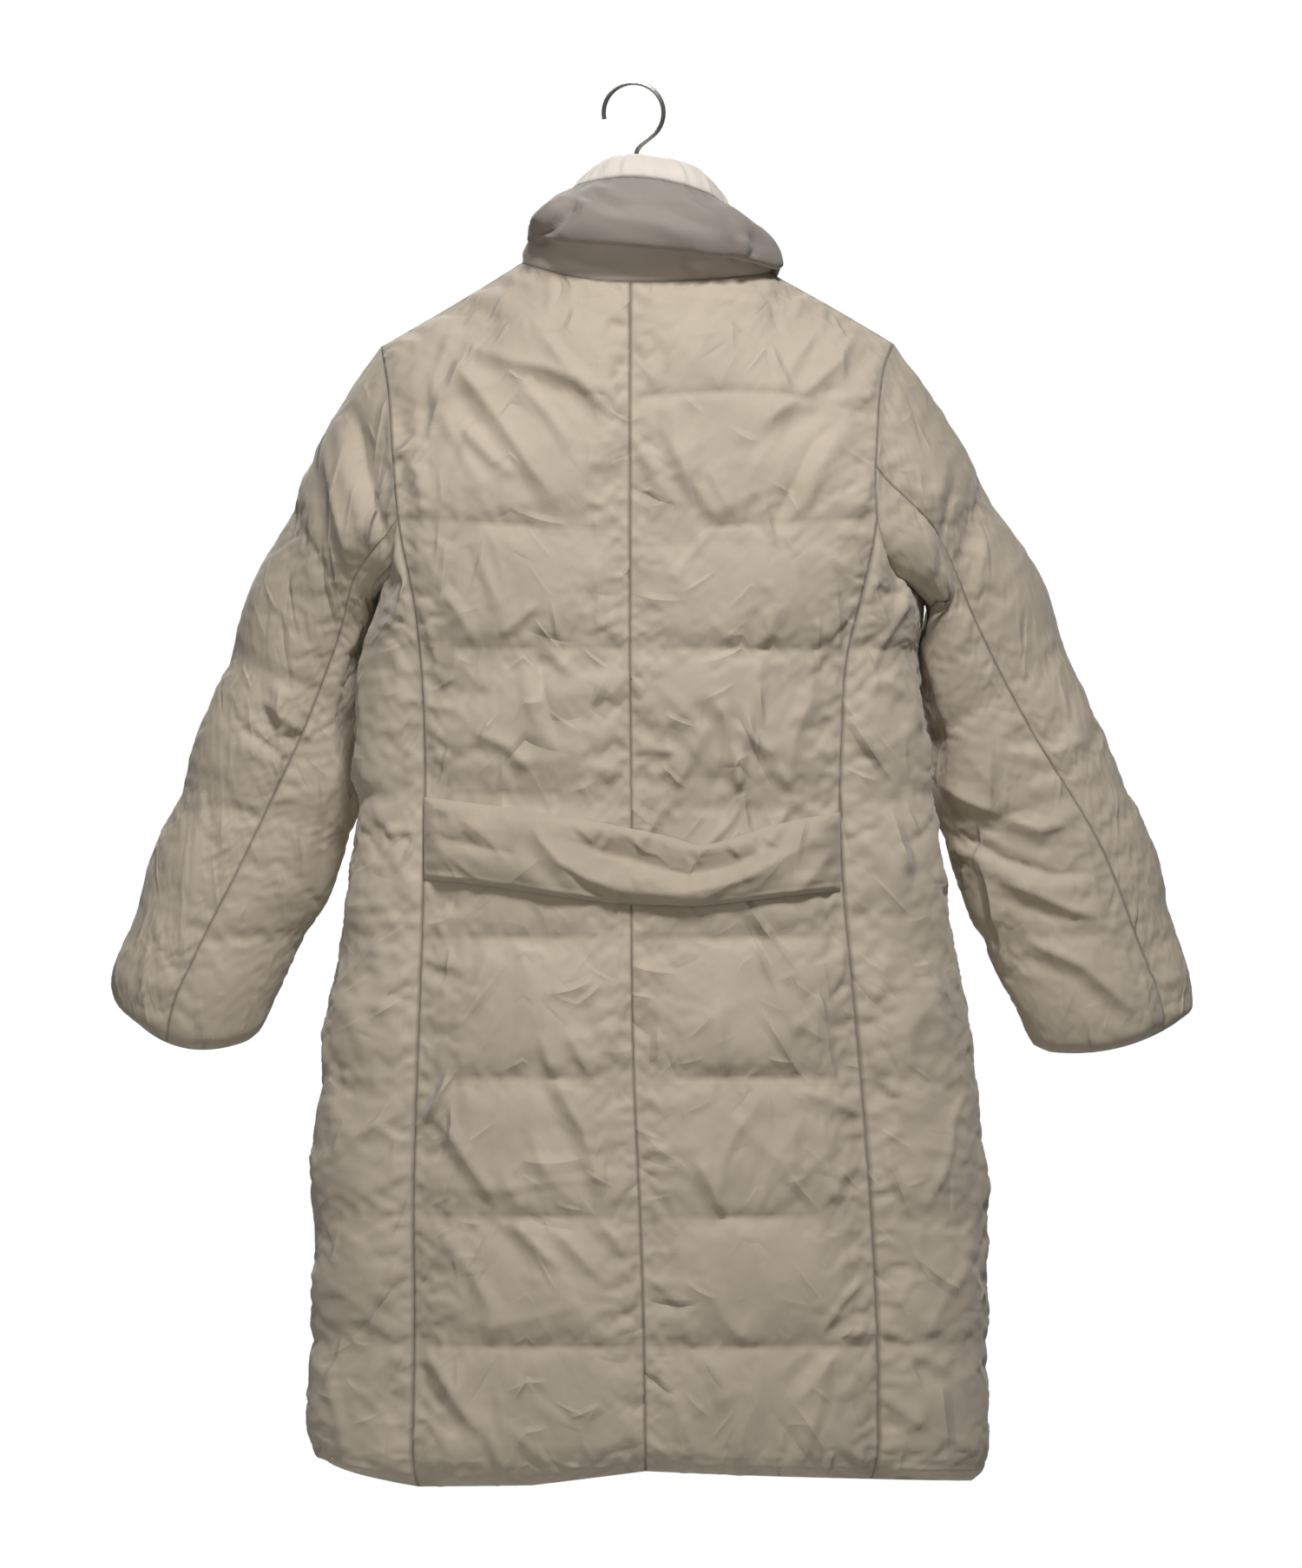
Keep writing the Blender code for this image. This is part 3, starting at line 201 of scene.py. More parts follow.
ARMHOLE = {
    1: table(
        ARMHOLE_COLUMNS,
        [
            (-0.2240, 0.2140, 0.000, 0.2140, 0.000),
            (-0.2400, 0.2110, 0.026, 0.2085, -0.026),
            (-0.2650, 0.2070, 0.046, 0.2020, -0.046),
            (-0.3000, 0.2045, 0.061, 0.1960, -0.061),
            (-0.3400, 0.2015, 0.071, 0.1915, -0.070),
            (-0.3717, 0.1985, 0.075, 0.1900, -0.073),
        ],
    ),
    -1: table(
        ARMHOLE_COLUMNS,
        [
            (-0.2215, -0.2205, 0.000, -0.2205, 0.000),
            (-0.2400, -0.2130, 0.026, -0.2120, -0.026),
            (-0.2650, -0.2085, 0.046, -0.2050, -0.046),
            (-0.3000, -0.2060, 0.061, -0.1990, -0.061),
            (-0.3400, -0.2040, 0.071, -0.1950, -0.070),
            (-0.3717, -0.2055, 0.075, -0.1945, -0.073),
        ],
    ),
}
SIDE_START = math.radians(18)
FRONT_LAP = {1: (0.066, 3 * FINE), -1: (0.050, 2 * FINE)}
LAP_STEP, LAP_BLEND, LAP_DROP, LAP_LIFT = 0.0078, 0.040, 0.6, 0.0030
UNDERARM_EASE = 0.100
RING_COLUMNS = (
    "outer_x outer_z inner_x inner_z half_depth middle_y droop back_seam front_seam"
)
SLEEVE = {
    1: table(
        RING_COLUMNS,
        [
            (0.2158, -0.2217, 0.2143, -0.4242, 0.075, 0.000, 0.000, 122, 225),
            (0.2609, -0.2971, 0.2270, -0.4500, 0.072, -0.020, 0.000, 122, 232),
            (0.3126, -0.4005, 0.2290, -0.5025, 0.064, -0.046, 0.000, 116, 236),
            (0.3459, -0.4833, 0.2300, -0.5528, 0.060, -0.053, 0.000, 107, 238),
            (0.3784, -0.5690, 0.2345, -0.6163, 0.057, -0.055, 0.000, 94, 238),
            (0.4079, -0.6481, 0.2590, -0.6814, 0.055, -0.055, 0.002, 88, 236),
            (0.4360, -0.7272, 0.2941, -0.7494, 0.052, -0.054, 0.007, 82, 232),
            (0.4456, -0.7600, 0.3110, -0.7830, 0.049, -0.054, 0.012, 79, 230),
            (0.4440, -0.7860, 0.3225, -0.8180, 0.044, -0.054, 0.017, 77, 228),
        ],
    ),
    -1: table(
        RING_COLUMNS,
        [
            (-0.2224, -0.2187, -0.2440, -0.4260, 0.075, 0.000, 0.000, 95, 208),
            (-0.2616, -0.2793, -0.2650, -0.4540, 0.072, -0.020, 0.000, 94, 208),
            (-0.3030, -0.3429, -0.2520, -0.5003, 0.066, -0.046, 0.000, 90, 208),
            (-0.3481, -0.4264, -0.2470, -0.5469, 0.062, -0.053, 0.000, 84, 208),
            (-0.3939, -0.5336, -0.2520, -0.6001, 0.058, -0.055, 0.000, 72, 207),
            (-0.4397, -0.6370, -0.2750, -0.6740, 0.056, -0.055, 0.002, 58, 203),
            (-0.4641, -0.7220, -0.3080, -0.7508, 0.053, -0.054, 0.005, 52, 198),
            (-0.4744, -0.7590, -0.3245, -0.7840, 0.050, -0.054, 0.008, 49, 195),
            (-0.4789, -0.7930, -0.3445, -0.8260, 0.045, -0.054, 0.010, 47, 193),
        ],
    ),
}
SLEEVE_SEAMS = {1: (8 * FINE, 15 * FINE), -1: (6 * FINE, 14 * FINE)}
SLEEVE_CHANNELS, SLEEVE_ROWS = 5, 4 * FINE
SLEEVE_OUTLINE, HEAD_FADE, UNDERARM_FADE, UNDERARM_SHARE = 0.0065, 0.36, 0.10, 0.35
ARM_CLEARANCE, ARM_RAMP, CUFF_TURN = 0.0040, 0.012, 0.006


def body(column, z):
    return smooth(BODY["z"], BODY[column], z)


# %% [markdown]
# ## Lines that pieces share
#
# A seam belongs to two pieces. Each seam is worked out once, by one function, and both pieces
# use its points, so there is never a gap between them.

# %% Seam lines
def below_yoke(side, face, columns):
    """Heights, rows by columns, from the first line under the yoke down to the hem."""
    at = np.arange(CHANNEL * (len(QUILT_LINES) - 2) + 1) / CHANNEL
    quilted = np.interp(at, range(len(QUILT_LINES) - 1), QUILT_LINES[1:])
    name = f"{face}_{'left' if side > 0 else 'right'}"
    hem = np.interp(np.asarray(columns) / FINE, HEM["column"], HEM[name])
    lower = QUILT_LINES[-1] + (hem[None] - QUILT_LINES[-1]) * HEM_STEPS[:, None]
    return np.concatenate([np.repeat(quilted[:, None], len(hem), axis=1), lower])


def armhole_upper(side, face):
    rows = ARMHOLE[side]
    z = np.linspace(rows["z"][0], rows["z"][-1], 60)
    x, y = (smooth(rows["z"], rows[f"{face}_{axis}"], z) for axis in "xy")
    return evenly(np.stack([x, y, z], axis=1), YOKE)


def armhole_lower(side, face):
    top, end = armhole_upper(side, face)[-1], np.array(UNDERARM[side])
    angle = np.linspace(0, math.pi / 2, 40)
    x = top[0] + (end[0] - top[0]) * (1 - np.cos(angle))
    z = top[2] + (end[2] - top[2]) * np.sin(angle)
    return evenly(np.stack([x, top[1] * np.cos(angle), z], axis=1), SIDE)


def top_line(side, face):
    """The upper edge of a half, from the centre of the neck to the shoulder point."""
    centre = np.array(BACK_NECK if face == "back" else FRONT_NECK)
    end, tip = np.array(NECK_POINT[side]), np.array(SHOULDER_TIP[side])
    angle = np.linspace(0, math.pi / 2, 40)
    x = centre[0] + (end[0] - centre[0]) * np.sin(angle)
    rise = np.sin(angle) ** 2 if face == "back" else 1 - np.cos(angle)
    z = centre[2] + (end[2] - centre[2]) * rise
    neck = evenly(np.stack([x, centre[1] * np.cos(angle), z], axis=1), BACK_HALF // 2)
    share = np.linspace(0, 1, BACK_HALF // 2 + 1)[:, None]
    shoulder = mix(end, tip, share)
    shoulder[:, 2:] -= SHOULDER_SAG[side] * np.sin(math.pi * share)
    return np.concatenate([neck, shoulder[1:]])


def centre_column(side, face):
    start = BACK_NECK if face == "back" else FRONT_NECK
    if face == "back":
        knots = (start[2], QUILT_LINES[0], QUILT_LINES[1])
        yoke = np.interp(np.linspace(0, 2, YOKE + 1), range(3), knots)
    else:
        yoke = np.linspace(start[2], QUILT_LINES[1], YOKE + 1)
    heights = np.append(yoke, below_yoke(side, face, [0])[1:, 0])
    depth = body(face, heights)
    x = body("centre", heights)
    if face == "front":
        share = np.clip((heights - QUILT_LINES[1]) / (start[2] - QUILT_LINES[1]), 0, 1)
        depth = mix(depth, -start[1], share)
        x[:YOKE] = np.linspace(start[0], x[YOKE], YOKE + 1)[:-1]
    points = np.stack([x, depth if face == "back" else -depth, heights], axis=1)
    points[0] = start
    return points


def princess_column(side, face):
    heights = below_yoke(side, face, [BACK_HALF])[:, 0]
    name = "left_princess" if side > 0 else "right_princess"
    upper = armhole_upper(side, face)
    fade = np.clip(1 - np.arange(len(heights)) / CHANNEL, 0, 1)
    heights = heights + (upper[-1, 2] - heights[0]) * fade
    x = body(name, heights)
    y = body(f"princess_{face}", heights) * (1 if face == "back" else -1)
    x += (upper[-1, 0] - x[0]) * fade**1.5
    y += (upper[-1, 1] - y[0]) * fade**1.5
    return np.concatenate([upper, np.stack([x, y, heights], axis=1)[1:]])


# %% [markdown]
# ## Nets for the body
#
# Every piece starts as a net: rows that run across it and columns that run down it. The nets
# lie in the middle of the wall. The padding is added later, on the outside only.

# %% Body nets
def centre_net(side, face):
    """From the centre (first column) to the princess line (last column)."""
    centre, princess = centre_column(side, face), princess_column(side, face)
    top = top_line(side, face)
    share = np.linspace(0, 1, BACK_HALF + 1)
    left = np.clip(1 - np.arange(len(centre)) / YOKE, 0, None)[:, None]
    net = mix(centre[:, None], princess[:, None], share[None, :, None])
    arch = (centre[:, 1] - princess[:, 1])[:, None] * (share - share**2)
    net[..., 1] += arch * (1 - left**2)
    away = top - mix(top[0], top[-1], share[:, None])
    for axis, power in enumerate((2, 3, 1.5)):
        net[..., axis] += away[:, axis] * left**power
    for _ in range(60):
        beside = net[1:YOKE, :-2] + net[1:YOKE, 2:]
        over_and_under = net[: YOKE - 1, 1:-1] + net[2 : YOKE + 1, 1:-1]
        net[1:YOKE, 1:-1] = mix(net[1:YOKE, 1:-1], (beside + over_and_under) / 4, 0.7)
    start = net[LAST_QUILT, :, 2]
    hem = below_yoke(side, face, range(BACK_HALF + 1))[-1]
    net[LAST_QUILT + 1 :, :, 2] = start + (hem - start) * HEM_STEPS[:, None]
    return net


def side_net(side, face):
    """From the princess line to the side seam, below the armhole."""
    name = "left" if side > 0 else "right"
    princess, top = princess_column(side, face)[YOKE:], armhole_lower(side, face)
    share = np.linspace(0, 1, SIDE + 1)
    angle = SIDE_START + (math.pi / 2 - SIDE_START) * share
    z = below_yoke(side, face, BACK_HALF + np.arange(SIDE + 1))
    left = np.clip(1 - np.arange(len(princess)) / CHANNEL, 0, None)[:, None]
    z = np.where(left > 0, mix(z[CHANNEL], top[:, 2], left), z)
    start = princess[:, None]
    reach = (body(name, z) - side * SIDE_ALLOWANCE - start[..., 0]) / (1 - math.sin(SIDE_START))
    x = start[..., 0] + reach * (np.sin(angle) - math.sin(SIDE_START))
    y = start[..., 1] * np.cos(angle) / math.cos(SIDE_START)
    net = np.stack([mix(x, top[:, 0], left**1.4), mix(y, top[:, 1], left**1.4), z], axis=2)
    net[:, 0], net[0] = princess, top
    return net


def lap_net(side):
    """The front's columns past the centre front to its free edge, as the other front lies."""
    reach, columns = FRONT_LAP[side]
    other = centre_net(-side, "front")
    net = np.zeros((len(other), columns + 1, 3))
    for row, points in zip(net, other):
        away = np.abs(points[:, 0] - points[0, 0])
        for axis in range(3):
            row[:, axis] = np.interp(np.linspace(0, reach, columns + 1), away, points[:, axis])
    drop = LAP_DROP * np.clip(1 - np.arange(2 * FINE) / (2 * FINE), 0, 1) ** 2
    for r in range(2 * FINE):
        net[r, 1:] = mix(net[r, 1:], net[r + FINE, 1:], drop[r])
    net[:, 0] = centre_column(side, "front")
    return net


def front_layer(side, x):
    """How far out the right front lies where it laps over the left one."""
    edge = FRONT_NECK[0] - FRONT_LAP[1][0]
    share = np.clip((x - (edge - LAP_BLEND)) / LAP_BLEND, 0, 1)
    return LAP_STEP * share * share * (3 - 2 * share) * (side < 0)


def turn_hem_in(net):
    inward = np.stack([(BODY["centre"][0] - net[..., 0]) * 0.25, -net[..., 1]], axis=2)
    inward /= np.linalg.norm(inward, axis=2)[..., None]
    net[-HEM_ROWS:, :, :2] += inward[-HEM_ROWS:] * HEM_TURN[:, None, None]


# %% [markdown]
# ## How high the padding stands
#
# Padding is highest in the middle of a quilted channel. It sinks to the stitches on a quilting
# line, and to almost nothing at a seam, where all the layers are sewn flat.

# %% Heights of the padding
def edge_distance(net, sewn):
    """Each point's distance along its row or column to the nearest sewn edge."""
    across, down = lengths_over(net, 1), lengths_over(net, 0)
    values = {
        "first": across,
        "last": across[:, -1:] - across,
        "top": down,
        "end": down[-1:] - down,
    }
    distance = np.full(net.shape[:2], 1.0)
    for name in sewn:
        distance = np.minimum(distance, values[name])
    return distance


def sagging(rows):
    """The filling of a channel sinks, so it is thickest below the channel's middle."""
    return np.sin(math.pi * (rows % 1) ** 1.5) ** 0.9


def row_rise(rows):
    rows = np.asarray(rows)
    channel = sagging(rows / CHANNEL)
    rise = QUILT_LIFT + BODY_PADDING * channel
    hem = np.interp(rows - LAST_QUILT, range(HEM_ROWS + 1), np.append(0, HEM_RISE))
    low = QUILT_LIFT * np.clip((LAST_QUILT + HEM_ROWS - rows) / FINE, 0, 1)
    return np.where(rows <= LAST_QUILT, rise, low + BODY_PADDING * hem)


def body_lift(net, first_row, sewn):
    rise = row_rise(first_row + np.arange(len(net)))[:, None]
    return SHELL + rise * ease(edge_distance(net, sewn), SEAM_EASE)


def squeeze(lift, net, side):
    below = np.linalg.norm(net - np.array(UNDERARM[side]), axis=2)
    return SHELL + (lift - SHELL) * np.maximum(0.04, ease(below, UNDERARM_EASE) ** 2)


# %% [markdown]
# ## Nets for the sleeves
#
# A sleeve is a row of rings. The first ring is the armhole itself, and its shape fades out
# down the arm. Where the sleeve would press into the body, its rings are moved outwards.

# %% Sleeve nets
def clear_of_body(points, side, t):
    name = "left" if side > 0 else "right"
    y, z = points[..., 1], points[..., 2]
    below = UNDERARM[side][2] - z
    start = body(f"{name}_princess", z)
    seam = body(name, z) - side * SIDE_ALLOWANCE
    depth = np.where(y > 0, body("princess_back", z), body("princess_front", z))
    cosine = np.abs(y) / depth * math.cos(SIDE_START)
    sine = np.sqrt(np.clip(1 - cosine**2, 0, 1))
    reach = (sine - math.sin(SIDE_START)) / (1 - math.sin(SIDE_START))
    padding = (QUILT_LIFT + BODY_PADDING) * ease(below, UNDERARM_EASE) ** 2
    padding = padding + (SLEEVE_QUILT + SLEEVE_PADDING) * ease(t, UNDERARM_SHARE)
    needed = (2 * SHELL + ARM_CLEARANCE + padding) * np.clip(below / ARM_RAMP, 0, 1)
    limit = side * (start + (seam - start) * reach) + needed
    pressed = (below > 0) & (t > 0) & (cosine < math.cos(SIDE_START))
    points[..., 0] = np.where(
        pressed, side * np.maximum(side * points[..., 0], limit), points[..., 0]
    )
    return points


def sleeve_nets(side):
    """The top sleeve's and the under sleeve's net, lift and middle line."""
    back = [armhole_upper(side, "back"), armhole_lower(side, "back")[1:]]
    front = np.concatenate([armhole_upper(side, "front"), armhole_lower(side, "front")[1:]])
    armhole = np.concatenate([*back, front[::-1][1:-1]])
    rings = SLEEVE[side]
    axis = np.stack([rings["outer_x"] + rings["inner_x"], rings["outer_z"] + rings["inner_z"]])
    stations = lengths_along(axis.T)
    stations /= stations[-1]
    t = np.linspace(0, 1, SLEEVE_CHANNELS * SLEEVE_ROWS + 1)[:, None]
    ring = {name: smooth(stations, rings[name], t) for name in rings}
    count = len(armhole)
    back_column, front_column = SLEEVE_SEAMS[side]
    angles = np.stack(
        [
            np.interp(
                np.arange(count),
                (0, back_column, front_column, count),
                (0, back_seam, front_seam, 360),
            )
            for back_seam, front_seam in zip(ring["back_seam"][:, 0], ring["front_seam"][:, 0])
        ]
    )
    angles = np.radians(angles)
    outer = np.stack([ring["outer_x"], ring["middle_y"], ring["outer_z"]], axis=2)
    inner = np.stack([ring["inner_x"], ring["middle_y"], ring["inner_z"]], axis=2)
    middle, across = (outer + inner) / 2, outer - inner
    half = np.linalg.norm(across, axis=2) / 2
    across /= 2 * half[..., None]
    full = np.clip(t / HEAD_FADE, 0, 1)
    turn = CUFF_TURN * np.clip((t - 0.97) / 0.03, 0, 1) ** 2
    half, depth = half - SLEEVE_OUTLINE * full - turn, ring["half_depth"] - SLEEVE_OUTLINE * full
    points = middle + (half * np.cos(angles))[..., None] * across
    points[..., 1] += (depth - turn) * np.sin(angles)
    down = np.stack([across[..., 2], np.zeros_like(half), -across[..., 0]], axis=2) * side
    points += down * (ring["droop"] * np.sin(angles) ** 2)[..., None]
    low = (1 - np.cos(angles)) / 2
    fade = np.clip(1 - t / (HEAD_FADE + (UNDERARM_FADE - HEAD_FADE) * low), 0, 1)[..., None]
    points += (armhole - points[0]) * fade**2 * (3 - 2 * fade)
    grid = clear_of_body(points, side, t)
    under = grid[:, back_column : front_column + 1]
    top = np.concatenate([grid[:, front_column:], grid[:, : back_column + 1]], axis=1)
    nets = []
    for net in (top, under):
        channel = sagging(np.minimum(t, 0.9999) * SLEEVE_CHANNELS)
        rise = (SLEEVE_QUILT + SLEEVE_PADDING * channel) * np.clip((1 - t) / 0.015, 0, 1)
        lift = SHELL + rise * ease(edge_distance(net, ("first", "last", "top")), SEAM_EASE)
        if net is under:
            lift = SHELL + (lift - SHELL) * ease(t, UNDERARM_SHARE)
        nets.append((net, lift, middle[:, 0]))
    return nets


# %% [markdown]
# ## One list of nets
#
# We gather every net with its padding and the places where it is held: along each seam, along
# the hem and cuffs, and at the stitches of each quilting line. Three nets make one front: its
# centre, its side, and the lap past the centre front.

# %% Gather the nets
EDGES = {"first": (slice(None), 0), "last": (slice(None), -1), "top": 0, "end": -1}


class Net:
    def __init__(self, name, points, lift, inside, rows, held):
        self.name, self.points, self.lift, self.inside = name, points, lift, inside
        self.held = held
        self.pins = np.zeros(lift.shape, bool)
        quilted = [r for r in range(len(points)) if r % rows == 0 and r != YOKE // 2]
        self.pins[quilted] = True
        for edge in held:
            self.pins[EDGES[edge]] = True
        self.quilted = np.zeros(lift.shape, bool)
        self.quilted[quilted] = True


nets = []
for side, word in ((1, "left"), (-1, "right")):
    for face in ("back", "front"):
        parts = [centre_net(side, face), side_net(side, face)]
        if face == "front":
            parts.append(lap_net(side))
            for net in parts:
                net[..., 1] -= front_layer(side, net[..., 0]) * (net[..., 1] < -0.05)
        middle = body("centre", parts[0][:, 0, 2])
        inside = np.stack([middle, np.zeros_like(middle), parts[0][:, 0, 2]], axis=1)
        for net in parts:
            turn_hem_in(net)
        centre, flank = parts[:2]
        all_edges = ("first", "last", "top", "end")
        if face == "back":
            lift = body_lift(centre, 0, ("first", "last", "top"))
            nets.append(Net(f"back_centre_{word}", centre, lift, inside, CHANNEL, all_edges))
            lift = squeeze(body_lift(flank, YOKE, ("first", "last", "top")), flank, side)
            nets.append(Net(f"back_side_{word}", flank, lift, inside[YOKE:], CHANNEL, all_edges))
            continue
        lift = body_lift(centre, 0, ("top",))
        lift[:YOKE] = body_lift(centre, 0, ("top", "last"))[:YOKE]
        flank_lift = squeeze(body_lift(flank, YOKE, ("last", "top")), flank, side)
        flank_lift[:, 0] = np.maximum(flank_lift[:, 0], lift[YOKE:, -1])
        lift[YOKE:, -1] = flank_lift[:, 0]
        lap = parts[2]
        lap_lift = body_lift(lap, 0, ("top", "last"))
        if side > 0:
            share = np.clip((np.arange(BACK_HALF + 1) / FINE - 3) / 3, 0, 1)
            lift = mix(LAP_LIFT, lift, share)
            lap_lift[:] = LAP_LIFT
        lift[-1] = flank_lift[-1] = lap_lift[-1] = SHELL
        nets.append(Net(f"front_{word}", centre, lift, inside, CHANNEL, ("top", "end")))
        nets[-1].pins[:YOKE, -1] = True
        held = ("last", "top", "end")
        nets.append(Net(f"front_{word}", flank, flank_lift, inside[YOKE:], CHANNEL, held))
        nets.append(Net(f"front_{word}", lap, lap_lift, inside, CHANNEL, held))
    for name, (net, lift, inside) in zip(("top_sleeve", "under_sleeve"), sleeve_nets(side)):
        nets.append(Net(f"{name}_{word}", net, lift, inside, SLEEVE_ROWS, all_edges))
print("nets:", len(nets), "points:", sum(n.lift.size for n in nets))


# %% [markdown]
# ## Sew the nets together
#
# Points that two nets share become one vertex. The whole coat is then one mesh, so the normals
# on both sides of a seam are the same and the cloth can pull across it.

# %% Join the nets into one mesh
def corners(shape, start=0):
    """The four corners of each cell of a net, as vertex numbers."""
    number = np.arange(shape[0] * shape[1]).reshape(shape) + start
    return np.stack([number[:-1, :-1], number[:-1, 1:], number[1:, 1:], number[1:, :-1]], axis=2)


def face_out(net):
    """True if the net's cells, in the order of `corners`, face away from the inside."""
    p = net.points
    normal = np.cross(p[1:, 1:] - p[:-1, :-1], p[1:, :-1] - p[:-1, 1:])
    away = p[:-1, :-1] - net.inside[:-1, None]
    return (normal * away).sum() > 0


def weld(points, per_metre):
    """Points in one small cell become one: which point is kept, and where each one went."""
    cells = np.round(points * per_metre + 0.123).astype(np.int64)
    _, first, index = np.unique(cells, axis=0, return_index=True, return_inverse=True)
    return first, index.reshape(-1)


def join(grids):
    return weld(np.concatenate([g.reshape(-1, 3) for g in grids]), 5e3)


def once(arrays, *size):
    """The nets' arrays end to end, with each shared point once."""
    return np.concatenate([a.reshape(-1, *size) for a in arrays])[first]


def joined_faces(grids, index):
    faces, start = [], 0
    for grid, net in zip(grids, nets):
        quads = corners(grid.shape[:2], start).reshape(-1, 4)
        faces.append(quads if net.outward else quads[:, ::-1])
        start += grid.shape[0] * grid.shape[1]
    return index[np.concatenate(faces)]


def normals_of(points, faces):
    a, b, c, d = (points[faces[:, i]] for i in range(4))
    normal = np.cross(c - a, d - b)
    total = np.zeros_like(points)
    for i in range(4):
        np.add.at(total, faces[:, i], normal)
    return total / np.maximum(np.linalg.norm(total, axis=1), 1e-12)[:, None]


def split(values, grids):
    """A long list of values for all nets' points, as one array for each net."""
    ends = np.cumsum([g.shape[0] * g.shape[1] for g in grids])[:-1]
    return [v.reshape(*g.shape[:2], -1) for v, g in zip(np.split(values, ends), grids)]


SEAM_REACH = 0.035  # metres from a seam that its spare cloth reaches
for net in nets:
    net.outward = face_out(net)
base_grids = [net.points for net in nets]
first, index = join(base_grids)
base = once(base_grids, 3)
base_faces = joined_faces(base_grids, index)
base_normals = normals_of(base, base_faces)
lift = once([net.lift for net in nets])
pins = np.zeros(len(base), bool)
np.logical_or.at(pins, index, np.concatenate([net.pins.reshape(-1) for net in nets]))
inland = [edge_distance(n.points, [e for e in n.held if e != "end"]) for n in nets]
nearness = np.clip(once(inland) / SEAM_REACH, 0, 1)
on_sleeve = once([np.full(n.lift.shape, "sleeve" in n.name) for n in nets])
nearness = np.where(on_sleeve, 0.6 + 0.4 * nearness, nearness)
print("vertices:", len(base), "held:", int(pins.sum()))

# %% [markdown]
# ## Puff it up
#
# Each piece of cloth is cut a little larger than the net that it is sewn along. We tell the
# cloth simulation so with a negative shrink, and blow gently from inside. The cloth that is too
# long must fold somewhere, and it makes the small puckers that run out of every seam.

# %% Simulate the cloth
def new_object(name, points, faces):
    mesh = bpy.data.meshes.new(name)
    mesh.from_pydata(points.tolist(), [], faces if isinstance(faces, list) else faces.tolist())
    mesh.update()
    obj = bpy.data.objects.new(name, mesh)
    scene.collection.objects.link(obj)
    return obj


def read_points(mesh):
    found = np.empty(len(mesh.vertices) * 3)
    mesh.vertices.foreach_get("co", found)
    return found.reshape(-1, 3)


SIM_FRAMES = 16
SPARE_CLOTH = (0.008, 0.032)  # in the middle of a piece, and along its seams
ROUGHNESS = 0.0002  # metres, so that the cloth can decide which way to buckle
START_FULL, LEAST = 0.85, 0.0010  # how full it starts, and the lowest that it may end, in metres
CLOTH_SETTINGS = {
    "quality": 3,
    "mass": 0.15,
    "tension_stiffness": 15,
    "compression_stiffness": 6,
    "shear_stiffness": 4,
    "bending_stiffness": 0.15,
    "tension_damping": 12,
    "air_damping": 4,
    "vertex_group_shrink": "spare",
    "shrink_min": -SPARE_CLOTH[1],
    "shrink_max": -SPARE_CLOTH[0],
    "use_pressure": True,
    "uniform_pressure_force": 1.0,
    "vertex_group_mass": "held",
}
dice = np.random.default_rng(7)
start = base + base_normals * (START_FULL * lift * (~pins) + lift * pins)[:, None]
start += base_normals * (dice.normal(0, ROUGHNESS, len(base)) * ~pins)[:, None]
skin = new_object("skin", start, base_faces)
held = skin.vertex_groups.new(name="held")
held.add(np.flatnonzero(pins).tolist(), 1.0, "REPLACE")
spare = skin.vertex_groups.new(name="spare")
for step in range(1, 11):
    near = np.flatnonzero((nearness > step / 10 - 0.05) & (nearness <= step / 10 + 0.05))
    spare.add(near.tolist(), step / 10, "REPLACE")
cloth = skin.modifiers.new("cloth", "CLOTH")
for key, value in CLOTH_SETTINGS.items():
    setattr(cloth.settings, key, value)
cloth.settings.effector_weights.gravity = 0
cloth.collision_settings.use_collision = False
for number in range(1, SIM_FRAMES + 1):
    scene.frame_set(number)
puffed = skin.evaluated_get(bpy.context.evaluated_depsgraph_get())
moved = read_points(puffed.data)
scene.frame_set(1)
bpy.data.objects.remove(skin)

OVER, ASIDE = 0.0035, 0.0050  # how far the cloth may rise above the padding, and slip aside
height = ((moved - base) * base_normals).sum(axis=1)
sideways = moved - base - base_normals * height[:, None]
over = height - lift
height = np.where(over > 0, lift + OVER * np.tanh(over / OVER), np.maximum(height, LEAST))
slip = np.maximum(np.linalg.norm(sideways, axis=1), 1e-9)
sideways *= (ASIDE * np.tanh(slip / ASIDE) / slip)[:, None]
puffed_points = base + base_normals * height[:, None] + sideways
print("skin's height in mm:", np.percentile(height * 1000, (1, 25, 50, 75, 99)).round(1))

# %% [markdown]
# ## Double the detail
#
# A cubic curve through four neighbours gives a good point half way between two of them. Done
# along both directions, it turns each cell of a net into four, without the cost of simulating
# four times as many points.

# %% Refine the nets
def halfway(grid, axis):
    grid = np.moveaxis(grid, axis, 0)
    wide = np.concatenate([2 * grid[:1] - grid[1:2], grid, 2 * grid[-1:] - grid[-2:-1]])
    fine = np.empty((2 * len(grid) - 1, *grid.shape[1:]))
    fine[::2] = grid
    fine[1::2] = (9 * (wide[1:-2] + wide[2:-1]) - wide[:-3] - wide[3:]) / 16
    return np.moveaxis(fine, 0, axis)


def refine(grid):
    return halfway(halfway(grid, 0), 1)


grids = [refine(grid) for grid in split(puffed_points[index], base_grids)]
plain_grids = [refine(net.points) for net in nets]
first, index = join(plain_grids)
flat_faces = joined_faces(grids, index)
points = once(grids, 3)
normals = normals_of(points, flat_faces)
print("vertices after doubling:", len(points))
